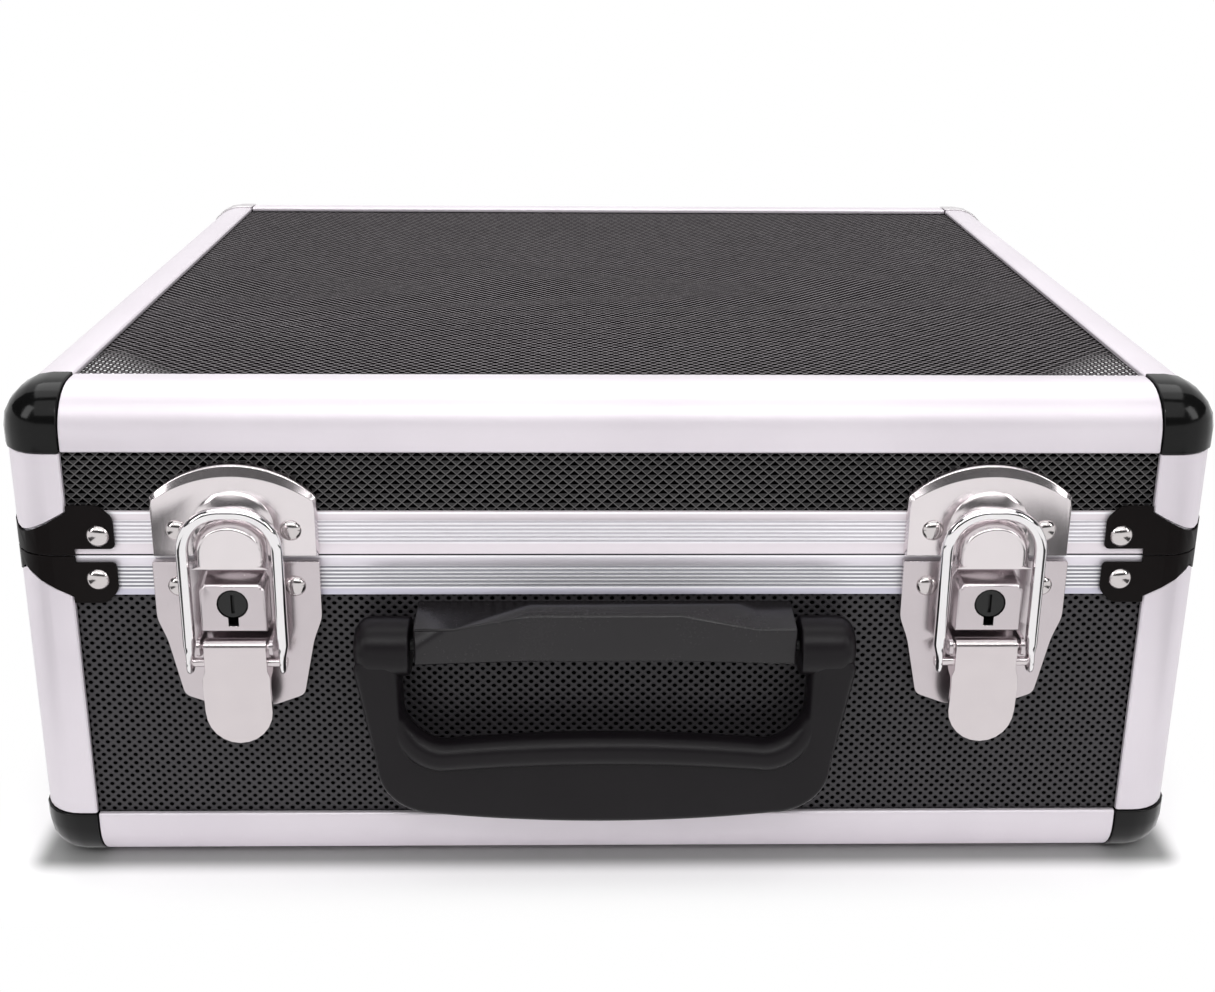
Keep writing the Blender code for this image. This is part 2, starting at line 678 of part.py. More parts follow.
def cross_rod(height, out, radius, reach, steps=SMALL_ROUND_STEPS, start=None):
    """A cylinder across a latch or the handle, at a height and a depth in the local frame."""
    circle = arc((height, out), radius, 0, 360, steps)[:-1]
    frame = frame_of((0, 1, 0), (0, 0, 1), (1, 0, 0), (0, 0, 0))
    return placed(prism(circle, -reach if start is None else start, reach), frame)


def front_rim(face):
    """A choice of the edges that lie in the plane of a face."""
    return lambda first, second: min(first.z, second.z) > face - FIT_GAP / 2


def catch_plate():
    """The lid's half of a latch: arched plate, crescent emboss and the strike that the bail hooks."""
    rise = CATCH_TOP - CATCH_SIDE_TOP
    arch_radius = (CATCH_HALF_WIDTH ** 2 + rise ** 2) / (2 * rise)
    half_angle = math.degrees(math.asin(CATCH_HALF_WIDTH / arch_radius))
    centre = (0, CATCH_TOP - arch_radius)
    arch = arc(centre, arch_radius, 90 - half_angle, 90 + half_angle, ARCH_STEPS)
    corners = [(-CATCH_HALF_WIDTH, CATCH_BOTTOM, PLATE_EDGE), (CATCH_HALF_WIDTH, CATCH_BOTTOM, PLATE_EDGE)]
    corners += [(x, y, CATCH_ROUND if index in (0, ARCH_STEPS) else 0) for index, (x, y) in enumerate(arch)]
    plate = prism(rounded(corners), LATCH_BACK_ON_BOARD, LATCH_FACE)

    def on_the_arch(first, second):
        level = min(first.y, second.y) > CATCH_SIDE_TOP - CATCH_ROUND / 2
        return level and min(first.z, second.z) > LATCH_FACE - FIT_GAP / 2

    softened(plate, CATCH_FLANGE, on_the_arch, CORNER_STEPS)
    far = CATCH_HALF_WIDTH + CUT_OVERRUN
    band_room = block(
        (-far, CATCH_BOTTOM - CUT_OVERRUN, LATCH_BACK_ON_BOARD - CUT_OVERRUN),
        (far, LID_BAND_HEIGHT + FIT_GAP, LATCH_BACK_ON_BAND),
    )
    bend_height = CRESCENT_TOP - CRESCENT_HALF_WIDTH
    crescent_arch = arc((0, bend_height), CRESCENT_HALF_WIDTH, 0, 180, ARCH_STEPS)
    crescent_face = LATCH_FACE + CRESCENT_RISE
    crescent = prism(
        [(-CRESCENT_HALF_WIDTH, CRESCENT_BOTTOM), (CRESCENT_HALF_WIDTH, CRESCENT_BOTTOM)] + crescent_arch,
        0, crescent_face,
    )
    softened(crescent, CRESCENT_RISE - FIT_GAP / 2, front_rim(crescent_face), 1)
    spring = BAIL_TOP - BAIL_BEND_RADIUS
    strike_top = BAIL_TOP - BAIL_WIRE_RADIUS - STRIKE_CLEARANCE
    strike_arch = oval_arc((0, spring), STRIKE_HALF_WIDTH, strike_top - spring, 0, 180, ARCH_STEPS)
    strike = prism(
        [(-STRIKE_HALF_WIDTH, -STRIKE_OVERHANG), (STRIKE_HALF_WIDTH, -STRIKE_OVERHANG)] + strike_arch,
        LATCH_FACE / 2, STRIKE_FACE,
    )
    softened(strike, STRIKE_BEVEL, front_rim(STRIKE_FACE), 2)
    return joined(carved(plate, band_room), crescent, strike)


def housing_ring(out, top, top_half_width):
    """The lock housing's outline at one depth."""
    outline = mirrored([
        (HOUSING_HALF_WIDTH, -HOUSING_BOTTOM),
        (HOUSING_HALF_WIDTH, -top - HOUSING_TOP_CORNER),
        (top_half_width, -top),
    ])
    return [(x, y, out) for x, y in outline]


def lever_ear(side):
    """A lug on the lock plate that holds one end of the lever's hinge."""
    axis = (-LEVER_AXIS_DROP, LEVER_AXIS_OUT)
    outline = arc(axis, EAR_RADIUS, 0, 180, BEND_STEPS)
    outline += [(axis[0] - EAR_RADIUS, 0), (axis[0] + EAR_RADIUS, 0)]
    frame = frame_of((0, 1, 0), (0, 0, 1), (1, 0, 0), (0, 0, 0))
    return placed(prism(outline, *sorted((side * EAR_INSIDE, side * EAR_OUTSIDE))), frame)


def lock_plate():
    """The base's half of a latch: waisted plate, hollow lock housing with a keyhole, and lever ears."""
    outline = rounded(mirrored([
        (LOCK_PLATE_KEEL_HALF_WIDTH, -LOCK_PLATE_BOTTOM, LOCK_PLATE_ROUND),
        (LOCK_PLATE_FOOT_HALF_WIDTH, -LOCK_PLATE_FOOT, LOCK_PLATE_ROUND),
        (LOCK_PLATE_WAIST_HALF_WIDTH, -LOCK_PLATE_WAIST, LOCK_PLATE_ROUND),
        (LOCK_PLATE_HALF_WIDTH, -LOCK_PLATE_SHOULDER, LOCK_PLATE_ROUND),
        (LOCK_PLATE_HALF_WIDTH, -LOCK_PLATE_TOP, PLATE_EDGE),
    ]))
    plate = prism(outline, LATCH_BACK_ON_BOARD, LATCH_FACE)
    far = LOCK_PLATE_HALF_WIDTH + CUT_OVERRUN
    band_room = block(
        (-far, -BASE_BAND_HEIGHT - FIT_GAP, LATCH_BACK_ON_BOARD - CUT_OVERRUN),
        (far, CUT_OVERRUN, LATCH_BACK_ON_BAND),
    )
    housing = loft([
        housing_ring(LATCH_FACE / 2, HOUSING_TOP, HOUSING_HALF_WIDTH - HOUSING_TOP_CORNER / 2),
        housing_ring(HOUSING_FACE, HOUSING_SHOULDER, HOUSING_TOP_HALF_WIDTH),
    ])
    softened(housing, HOUSING_EDGE, front_rim(HOUSING_FACE), 1)
    inside = HOUSING_HALF_WIDTH - HOUSING_WALL
    cavity = block(
        (-inside, HOUSING_WALL - HOUSING_BOTTOM, LATCH_BACK_ON_BOARD - CUT_OVERRUN),
        (inside, -HOUSING_SHOULDER - HOUSING_WALL / 2, HOUSING_FACE - HOUSING_WALL),
    )
    through = (HOUSING_FACE - HOUSING_WALL - CUT_OVERRUN / 2, HOUSING_FACE + CUT_OVERRUN)
    keyhole = prism(arc((0, -PLUG_DROP), PLUG_RADIUS + FIT_GAP, 0, 360, ROUND_STEPS)[:-1], *through)
    notch = block(
        (-KEY_NOTCH_HALF_WIDTH, -PLUG_DROP - KEY_NOTCH_REACH, through[0]),
        (KEY_NOTCH_HALF_WIDTH, -PLUG_DROP, through[1]),
    )
    hole_radius, hole_reach = TRUNNION_RADIUS + FIT_GAP, EAR_OUTSIDE + CUT_OVERRUN
    ear_hole = cross_rod(-LEVER_AXIS_DROP, LEVER_AXIS_OUT, hole_radius, hole_reach)
    body = joined(carved(plate, band_room), housing, lever_ear(-1), lever_ear(1))
    return carved(body, cavity, keyhole, notch, ear_hole)


def lock_plug():
    """The turning core of the lock, with its key slot and the cam behind it."""
    face = HOUSING_FACE - PLUG_RECESS
    core = prism(arc((0, -PLUG_DROP), PLUG_RADIUS, 0, 360, ROUND_STEPS)[:-1], face - PLUG_LENGTH, face)
    key_slot = block(
        (-KEY_SLOT_WIDTH / 2, -PLUG_DROP - KEY_SLOT_LENGTH / 2, face - KEY_SLOT_DEPTH),
        (KEY_SLOT_WIDTH / 2, -PLUG_DROP + KEY_SLOT_LENGTH / 2, face + CUT_OVERRUN),
    )
    cam = block(
        (-CAM_HALF_WIDTH, -PLUG_DROP - CAM_HALF_WIDTH, face - PLUG_LENGTH - CAM_THICKNESS),
        (CAM_HALF_WIDTH, -PLUG_DROP + CAM_LENGTH, face - PLUG_LENGTH + CAM_THICKNESS / 2),
    )
    return joined(carved(core, key_slot), cam)


def lever():
    """The pulled lever: rolled top, cheeks that hold the bail's pin, and a round-ended tongue."""
    axis_height, axis_out = -LEVER_AXIS_DROP, LEVER_AXIS_OUT
    front = [
        (0, LEVER_ROLL_RADIUS),
        (LEVER_CHEEK_DROP, LEVER_ROLL_RADIUS),
        (LEVER_CROWN_DROP, LEVER_ROLL_RADIUS + LEVER_CROWN),
        (LEVER_HOLLOW_DROP, LEVER_ROLL_RADIUS - LEVER_CROWN / 2),
        (LEVER_TIP + LEVER_CROWN, LEVER_ROLL_RADIUS + LEVER_CROWN),
    ]
    back = [(drop, out - LEVER_SHEET) for drop, out in front[:1:-1]]
    cheek_back = LEVER_ROLL_RADIUS - LEVER_CHEEK_DEPTH
    cheek = [
        (LEVER_CHEEK_DROP + LEVER_SHEET, LEVER_ROLL_RADIUS - LEVER_SHEET),
        (LEVER_CHEEK_DROP, cheek_back),
    ]
    roll = arc((0, 0), LEVER_ROLL_RADIUS, -90, 90, BEND_STEPS)
    side = [(axis_height + x, axis_out + y) for x, y in roll]
    side += [(axis_height - drop, axis_out + out) for drop, out in front[1:] + back + cheek]
    across = frame_of((0, 1, 0), (0, 0, 1), (1, 0, 0), (0, 0, 0))
    far = LEVER_HALF_WIDTH + CUT_OVERRUN
    body = placed(prism(side, -far, far), across)
    tip_centre = (0, axis_height - LEVER_TIP + LEVER_HALF_WIDTH)
    half = arc(tip_centre, LEVER_HALF_WIDTH, -90, 0, BEND_STEPS)
    half += [
        (LEVER_HALF_WIDTH, axis_height - LEVER_SHOULDER - LEVER_SHOULDER_HEIGHT),
        (LEVER_TOP_HALF_WIDTH, axis_height - LEVER_SHOULDER),
        (LEVER_TOP_HALF_WIDTH, axis_height + LEVER_ROLL_RADIUS + CUT_OVERRUN),
    ]
    half[0] = (0, half[0][1])
    outline = prism(mirrored(half), -CUT_OVERRUN, axis_out + LEVER_ROLL_RADIUS + CUT_OVERRUN)
    body = combined(body, outline, "INTERSECT")
    inside = LEVER_TOP_HALF_WIDTH - LEVER_CHEEK_WALL
    channel_top = axis_height - LEVER_ROLL_RADIUS - BAIL_PIN_RADIUS / 2
    channel = block(
        (-inside, axis_height - LEVER_CHEEK_DROP - CUT_OVERRUN, -CUT_OVERRUN),
        (inside, channel_top, axis_out + LEVER_ROLL_RADIUS - LEVER_SHEET),
    )
    trunnions = cross_rod(axis_height, axis_out, TRUNNION_RADIUS, EAR_OUTSIDE)
    bail_pin = cross_rod(axis_height - BAIL_PIN_DROP, axis_out, BAIL_PIN_RADIUS, BAIL_PIN_REACH)
    return joined(carved(body, channel), trunnions, bail_pin)


def bail():
    """The wire bail: a round wire bent into an arch, with an eye at each end."""
    pin_height = -LEVER_AXIS_DROP - BAIL_PIN_DROP
    shift = BAIL_HALF_WIDTH - BAIL_BEND_RADIUS
    spring = BAIL_TOP - BAIL_BEND_RADIUS
    path = [(BAIL_HALF_WIDTH, pin_height)]
    path += arc((shift, spring), BAIL_BEND_RADIUS, 0, 90, BEND_STEPS)
    path += arc((-shift, spring), BAIL_BEND_RADIUS, 90, 180, BEND_STEPS)
    path += [(-BAIL_HALF_WIDTH, pin_height)]
    rings = []
    for index, (x, y) in enumerate(path):
        before = Vector(path[max(index - 1, 0)])
        after = Vector(path[min(index + 1, len(path) - 1)])
        along = (after - before).normalized()
        across = Vector((along.y, -along.x))
        ring = []
        for offset, out in arc((0, LEVER_AXIS_OUT), BAIL_WIRE_RADIUS, 0, 360, WIRE_SIDES)[:-1]:
            ring.append((x + across.x * offset, y + across.y * offset, out))
        rings.append(ring)
    body = loft(rings)
    inner, outer = BAIL_HALF_WIDTH - BAIL_WIRE_RADIUS, BAIL_HALF_WIDTH + BAIL_WIRE_RADIUS
    for low, high in ((inner, outer), (-outer, -inner)):
        eye = cross_rod(pin_height, LEVER_AXIS_OUT, BAIL_EYE_RADIUS, high, start=low)
        body = joined(body, eye)
    hole = cross_rod(pin_height, LEVER_AXIS_OUT, BAIL_PIN_RADIUS + FIT_GAP, outer + CUT_OVERRUN)
    return carved(body, hole)


def build_latch(side, centre, materials, base, lid):
    frame = latch_frame(centre)
    plate_place = frame @ Vector((0, -LOCK_PLATE_TOP, 0))
    piece(f"{side}_lock_plate", placed(lock_plate(), frame), materials["chrome"], plate_place, base)
    catch_place = frame @ Vector((0, CATCH_BOTTOM, 0))
    piece(f"{side}_catch_plate", placed(catch_plate(), frame), materials["chrome"], catch_place, lid)
    plug_place = frame @ Vector((0, -PLUG_DROP, HOUSING_FACE - PLUG_RECESS))
    piece(f"{side}_lock_plug", placed(lock_plug(), frame), materials["lock"], plug_place, base)
    lever_place = frame @ Vector((0, -LEVER_AXIS_DROP, LEVER_AXIS_OUT))
    swung = piece(f"{side}_lever", placed(lever(), frame), materials["chrome"], lever_place, base)
    bail_place = frame @ Vector((0, -LEVER_AXIS_DROP - BAIL_PIN_DROP, LEVER_AXIS_OUT))
    piece(f"{side}_bail", placed(bail(), frame), materials["chrome"], bail_place, swung)


# Handle, in the same local frame, a little to the left of the case's middle

def handle_section(width, front, roll):
    """The handle's section as (distance from the inner edge, depth), with its rounded grip roll."""
    radius = GRIP_ROLL_WIDTH / 2
    middle = front + roll - radius
    stop = math.degrees(math.asin(1 - roll / radius))
    section = arc((radius, middle), radius, 180 + GRIP_ROLL_BACK_DEGREES, stop, HANDLE_ROLL_STEPS)
    section += [
        (width - HANDLE_EDGE, front),
        (width, front - HANDLE_EDGE),
        (width, HANDLE_BACK + HANDLE_EDGE),
        (width - HANDLE_EDGE, HANDLE_BACK),
        (HANDLE_BACK_SLOPE, HANDLE_BACK),
    ]
    return section


def handle_stations():
    """Pairs of inner and outer outline points on the right half, from the pin to the middle of the grip.

    Heights count from the pin. With each pair comes how much of the grip roll's rise it has.
    """
    inner_x, outer_x = HANDLE_HALF_WIDTH - HANDLE_ARM_WIDTH, HANDLE_HALF_WIDTH
    inner_low, outer_low = GRIP_TOP_DROP - GRIP_CORNER_HEIGHT, HANDLE_DROP - HANDLE_CORNER_HEIGHT
    stations = [((inner_x, 0), (outer_x - HANDLE_BOSS_ROUND, 0), 0)]
    for step in range(HANDLE_ARM_STEPS):
        share = step / HANDLE_ARM_STEPS
        inner_y = -HANDLE_BOSS_ROUND - (inner_low - HANDLE_BOSS_ROUND) * share
        outer_y = -HANDLE_BOSS_ROUND - (outer_low - HANDLE_BOSS_ROUND) * share
        stations.append(((inner_x, inner_y), (outer_x - HANDLE_TAPER * share, outer_y), 0))
    inner_centre = (inner_x - GRIP_CORNER_WIDTH, -inner_low)
    outer_centre = (outer_x - HANDLE_TAPER - HANDLE_CORNER_WIDTH, -outer_low)
    bend = (0, -90, HANDLE_CORNER_STEPS)
    inner_bend = oval_arc(inner_centre, GRIP_CORNER_WIDTH, GRIP_CORNER_HEIGHT, *bend)
    outer_bend = oval_arc(outer_centre, HANDLE_CORNER_WIDTH, HANDLE_CORNER_HEIGHT, *bend)
    for step, (inner, outer) in enumerate(zip(inner_bend, outer_bend)):
        stations.append((inner, outer, step / HANDLE_CORNER_STEPS))
    for step in range(1, HANDLE_GRIP_STEPS + 1):
        left = 1 - step / HANDLE_GRIP_STEPS
        inner = (inner_centre[0] * left, -GRIP_TOP_DROP + GRIP_RISE * (1 - left ** 2))
        outer = (outer_centre[0] * left, -HANDLE_DROP - HANDLE_BOW * (1 - left ** 2))
        stations.append((inner, outer, 1))
    return stations


def handle():
    """The moulded handle: a section lofted round the grip, with a boss on the pin at each end."""
    rings = []
    for inner, outer, roll_share in handle_stations():
        inner, outer = Vector(inner), Vector(outer)
        outward = (outer - inner).normalized()
        drop_share = min(-(inner.y + outer.y) / (GRIP_TOP_DROP + HANDLE_DROP), 1)
        front = HANDLE_ARM_FRONT + (HANDLE_FLANGE_FRONT - HANDLE_ARM_FRONT) * drop_share
        ring = []
        for across, out in handle_section((outer - inner).length, front, GRIP_ROLL_RISE * roll_share):
            spot = inner + outward * across
            ring.append((spot.x, spot.y - HANDLE_AXIS_DROP, out))
        rings.append(ring)
    rings += [[(-x, y, out) for x, y, out in ring] for ring in reversed(rings[:-1])]
    body = loft(rings)
    axis = (-HANDLE_AXIS_DROP, HANDLE_AXIS_OUT)
    for side in (-1, 1):
        ends = sorted((side * HANDLE_BOSS_INSIDE, side * HANDLE_HALF_WIDTH))
        boss = cross_rod(*axis, HANDLE_BOSS_RADIUS, ends[1], ROUND_STEPS, start=ends[0])

        def at_outer_end(first, second):
            return min(abs(first.x), abs(second.x)) > HANDLE_HALF_WIDTH - FIT_GAP

        softened(boss, HANDLE_BOSS_ROUND, at_outer_end, CORNER_STEPS)
        body = joined(body, boss)
    bore = cross_rod(*axis, HANDLE_PIN_RADIUS + FIT_GAP, HANDLE_PIN_END + FIT_GAP)
    return carved(body, bore)


def bracket():
    """The handle's bracket: a lofted block with a raised crown, bored for the pin."""
    bottom = BRACKET_BOTTOM - BRACKET_BOTTOM_RISE
    half = [
        (BRACKET_CROWN_HALF_WIDTH, -bottom),
        (BRACKET_HALF_WIDTH, -BRACKET_BOTTOM),
        (BRACKET_HALF_WIDTH, -BRACKET_SHOULDER),
        (BRACKET_SHOULDER_HALF_WIDTH, -BRACKET_SHOULDER),
        (BRACKET_CROWN_HALF_WIDTH, -BRACKET_CROWN),
    ]
    front = [(x, y, BRACKET_FRONT) for x, y in mirrored(half)]
    back = []
    for x, y, _ in front:
        back.append((x, y if y < -HANDLE_AXIS_DROP else -BRACKET_BACK_TOP, LATCH_BACK_ON_BOARD))
    body = softened(loft([back, front]), BRACKET_EDGE, front_rim(BRACKET_FRONT), 2)
    reach = BRACKET_HALF_WIDTH + CUT_OVERRUN
    bore = cross_rod(-HANDLE_AXIS_DROP, HANDLE_AXIS_OUT, HANDLE_PIN_RADIUS + FIT_GAP, reach)
    return carved(body, bore)


def build_handle(materials, base):
    frame = latch_frame(HANDLE_OFFSET)
    axis = frame @ Vector((0, -HANDLE_AXIS_DROP, HANDLE_AXIS_OUT))
    foot = frame @ Vector((0, -BRACKET_BOTTOM, 0))
    piece("handle_bracket", placed(bracket(), frame), materials["bracket"], foot, base)
    pin = cross_rod(-HANDLE_AXIS_DROP, HANDLE_AXIS_OUT, HANDLE_PIN_RADIUS, HANDLE_PIN_END)
    piece("handle_pin", placed(pin, frame), materials["steel"], axis, base)
    piece("handle", placed(handle(), frame), materials["handle"], axis, base)


# Hinge. Local X runs out from the rear plane, local Y away from the seam into the leaf's own half

def hinge_leaf(height, first_cut):
    """A leaf with its edge curled round the pin, cut away where the other leaf's knuckles are."""
    back, face = LATCH_BACK_ON_BAND, LATCH_BACK_ON_BAND + HINGE_LEAF
    axis = (HINGE_AXIS_OUT, 0)
    stop = 180 + CURL_SWEEP_DEGREES
    inner = arc(axis, HINGE_KNUCKLE_RADIUS - HINGE_LEAF, 180, stop, CURL_STEPS)
    outer = arc(axis, HINGE_KNUCKLE_RADIUS, stop, 180, CURL_STEPS)
    shape = prism([(back, height), (face, height)] + inner + outer, -HINGE_LENGTH / 2, HINGE_LENGTH / 2)
    pitch = HINGE_LENGTH / HINGE_KNUCKLE_COUNT
    for index in range(first_cut, HINGE_KNUCKLE_COUNT, 2):
        start = index * pitch - HINGE_LENGTH / 2
        room = block(
            (back - CUT_OVERRUN, -HINGE_KNUCKLE_RADIUS - CUT_OVERRUN, start - FIT_GAP / 2),
            (HINGE_AXIS_OUT + HINGE_KNUCKLE_RADIUS + CUT_OVERRUN, HINGE_KNUCKLE_RADIUS + FIT_GAP,
             start + pitch + FIT_GAP / 2),
        )
        shape = carved(shape, room)
    return shape


def build_hinge(materials, base, lid):
    axis = (0, REAR_Y + HINGE_AXIS_OUT, SEAM_HEIGHT)
    origin = (0, REAR_Y, SEAM_HEIGHT)
    leaves = (
        ("hinge_lower_leaf", BASE_BAND_HEIGHT, 1, -1, base),
        ("hinge_upper_leaf", LID_BAND_HEIGHT, 0, 1, lid),
    )
    for name, height, first_cut, up, carrier in leaves:
        shape = hinge_leaf(height - HINGE_LEAF_MARGIN, first_cut)
        placed(shape, frame_of((0, 1, 0), (0, 0, up), (1, 0, 0), origin))
        piece(name, shape, materials["steel"], axis, carrier)
    pin = rod(axis[1:], HINGE_PIN_RADIUS, -HINGE_LENGTH / 2, HINGE_LENGTH / 2, SMALL_ROUND_STEPS)
    piece("hinge_pin", pin, materials["steel"], axis, base)


def build_case():
    for thing in list(bpy.data.objects):
        bpy.data.objects.remove(thing)
    materials = {
        "board": finish("dimpled_black_board", (0.020, 0.020, 0.022), 0.35),
        "edge": finish("satin_silver", (0.72, 0.69, 0.72), 0.32, 0.9),
        "corner": finish("gloss_black", (0.010, 0.010, 0.011), 0.12),
        "silver_corner": finish("polished_silver", (0.74, 0.72, 0.74), 0.2, 0.9),
        "chrome": finish("bright_chrome", (0.80, 0.77, 0.78), 0.12, 1.0),
        "lock": finish("dark_lock", (0.030, 0.029, 0.030), 0.3, 0.6),
        "handle": finish("matt_black_handle", (0.022, 0.021, 0.023), 0.5),
        "bracket": finish("satin_black_bracket", (0.018, 0.017, 0.018), 0.25),
        "steel": finish("bright_steel", (0.65, 0.64, 0.65), 0.28, 1.0),
    }
    base = axis_mark("base_frame", (0, 0, 0))
    lid = axis_mark("lid_axis", (0, REAR_Y + HINGE_AXIS_OUT, SEAM_HEIGHT))
    base_slot = BASE_BAND_BOTTOM + BAND_GRIP - FIT_GAP
    lid_slot = LID_BAND_TOP - BAND_GRIP + FIT_GAP
    build_boards("base", 0, 1, base_slot, materials["board"], base)
    build_boards("lid", CASE_HEIGHT, -1, lid_slot, materials["board"], lid)
    build_edges("base", 0, 1, materials["edge"], base)
    build_edges("lid", CASE_HEIGHT, -1, materials["edge"], lid)
    base_levels = (0, SEAM_HEIGHT - FIT_GAP / 2, BASE_BAND_BOTTOM, BASE_BAND_BOTTOM + BASE_UPRIGHT_TIP,
                   BASE_TIP_CURVE_SHARE)
    lid_levels = (CASE_HEIGHT, SEAM_HEIGHT + FIT_GAP / 2, LID_BAND_TOP, LID_BAND_TOP - LID_UPRIGHT_TIP,
                  LID_TIP_CURVE_SHARE)
    build_corners("base", base_levels, materials, base)
    build_corners("lid", lid_levels, materials, lid)
    build_band("base", BASE_BAND_HEIGHT, -1, materials["edge"], base)
    build_band("lid", LID_BAND_HEIGHT, 1, materials["edge"], lid)
    build_latch("left", -LATCH_CENTRE, materials, base, lid)
    build_latch("right", LATCH_CENTRE, materials, base, lid)
    build_handle(materials, base)
    build_hinge(materials, base, lid)


build_case()
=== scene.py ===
# %% [markdown]
# # A lockable case, dressed for the camera
#
# The case is a box of black dimpled boards held in bright edge extrusions. Its shapes and joints
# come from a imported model, loaded here as a fixed frame. This script gives that frame its looks:
# softened edges, rivets, lining, and a finish for every surface. Lengths are in metres.

import json
import math

import bmesh
import bpy
from mathutils import Matrix, Vector


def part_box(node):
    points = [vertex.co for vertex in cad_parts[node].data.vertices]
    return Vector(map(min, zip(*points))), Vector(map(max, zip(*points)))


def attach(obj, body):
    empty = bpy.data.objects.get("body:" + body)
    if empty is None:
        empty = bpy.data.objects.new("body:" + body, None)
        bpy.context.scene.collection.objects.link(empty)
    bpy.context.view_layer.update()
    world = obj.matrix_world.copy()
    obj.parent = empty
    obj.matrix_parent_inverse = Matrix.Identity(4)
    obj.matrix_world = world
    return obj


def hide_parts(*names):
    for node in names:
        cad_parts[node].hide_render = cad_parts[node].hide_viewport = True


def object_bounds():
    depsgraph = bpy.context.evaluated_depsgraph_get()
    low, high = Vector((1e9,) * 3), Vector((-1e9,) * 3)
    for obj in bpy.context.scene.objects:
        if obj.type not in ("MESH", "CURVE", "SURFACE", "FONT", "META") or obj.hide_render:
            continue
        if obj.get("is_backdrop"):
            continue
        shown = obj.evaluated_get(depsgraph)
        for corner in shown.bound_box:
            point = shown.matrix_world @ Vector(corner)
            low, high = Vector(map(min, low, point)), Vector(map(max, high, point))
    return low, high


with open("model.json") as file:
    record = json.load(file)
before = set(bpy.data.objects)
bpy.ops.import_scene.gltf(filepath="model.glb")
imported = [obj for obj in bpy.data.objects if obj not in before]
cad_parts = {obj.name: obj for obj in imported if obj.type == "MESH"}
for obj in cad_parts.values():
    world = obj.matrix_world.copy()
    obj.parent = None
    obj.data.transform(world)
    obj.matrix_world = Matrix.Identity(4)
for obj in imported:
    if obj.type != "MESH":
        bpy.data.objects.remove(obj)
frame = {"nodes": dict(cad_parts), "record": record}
cad_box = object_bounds()
nodes = frame["nodes"]
for thing in [thing for thing in bpy.data.objects if thing.type in ("CAMERA", "LIGHT")]:
    bpy.data.objects.remove(thing)
MM = 0.001

# %% [markdown]
# ## Shader maths as plain Python
#
# A finish is easier to read as a formula than as a web of links. The class below wraps a node's
# socket, so that adding or multiplying two of them adds the Math node. Everything else, such as a
# noise or a colour ramp, comes from one method that takes the node's type and its inputs.

# %% Signals and finishes
class Signal:
    """A socket that carries one number, with Python's operators."""

    def __init__(self, finish, socket):
        self.finish, self.socket = finish, socket

    def maths(self, operation, *others, turned=False):
        values = [*others, self] if turned else [self, *others]
        settings = {"operation": operation}
        return self.finish.node("ShaderNodeMath", settings, dict(enumerate(values)))

    def __add__(self, other):
        return self.maths("ADD", other)

    def __radd__(self, other):
        return self.maths("ADD", other, turned=True)

    def __sub__(self, other):
        return self.maths("SUBTRACT", other)

    def __rsub__(self, other):
        return self.maths("SUBTRACT", other, turned=True)

    def __mul__(self, other):
        return self.maths("MULTIPLY", other)

    def __rmul__(self, other):
        return self.maths("MULTIPLY", other, turned=True)

    def __truediv__(self, other):
        return self.maths("DIVIDE", other)

    def __pow__(self, other):
        return self.maths("POWER", other)

    def __abs__(self):
        return self.maths("ABSOLUTE")

    def smallest(self, other):
        return self.maths("MINIMUM", other)

    def largest(self, other):
        return self.maths("MAXIMUM", other)

    def wave(self):
        return self.maths("SINE")

    def from_middle(self, pitch):
        """How far this place is from the nearest multiple of a pitch."""
        return self.maths("PINGPONG", pitch / 2)

    def signed(self, pitch):
        """Where this place lies in its own cell, from minus to plus half a pitch."""
        return self.maths("WRAP", pitch / 2, -pitch / 2)

    def step(self, low, high):
        """0 below low, 1 above high, and a smooth rise between them."""
        settings = {"interpolation_type": "SMOOTHSTEP", "clamp": True}
        inputs = {"Value": self, "From Min": low, "From Max": high}
        return self.finish.node("ShaderNodeMapRange", settings, inputs)


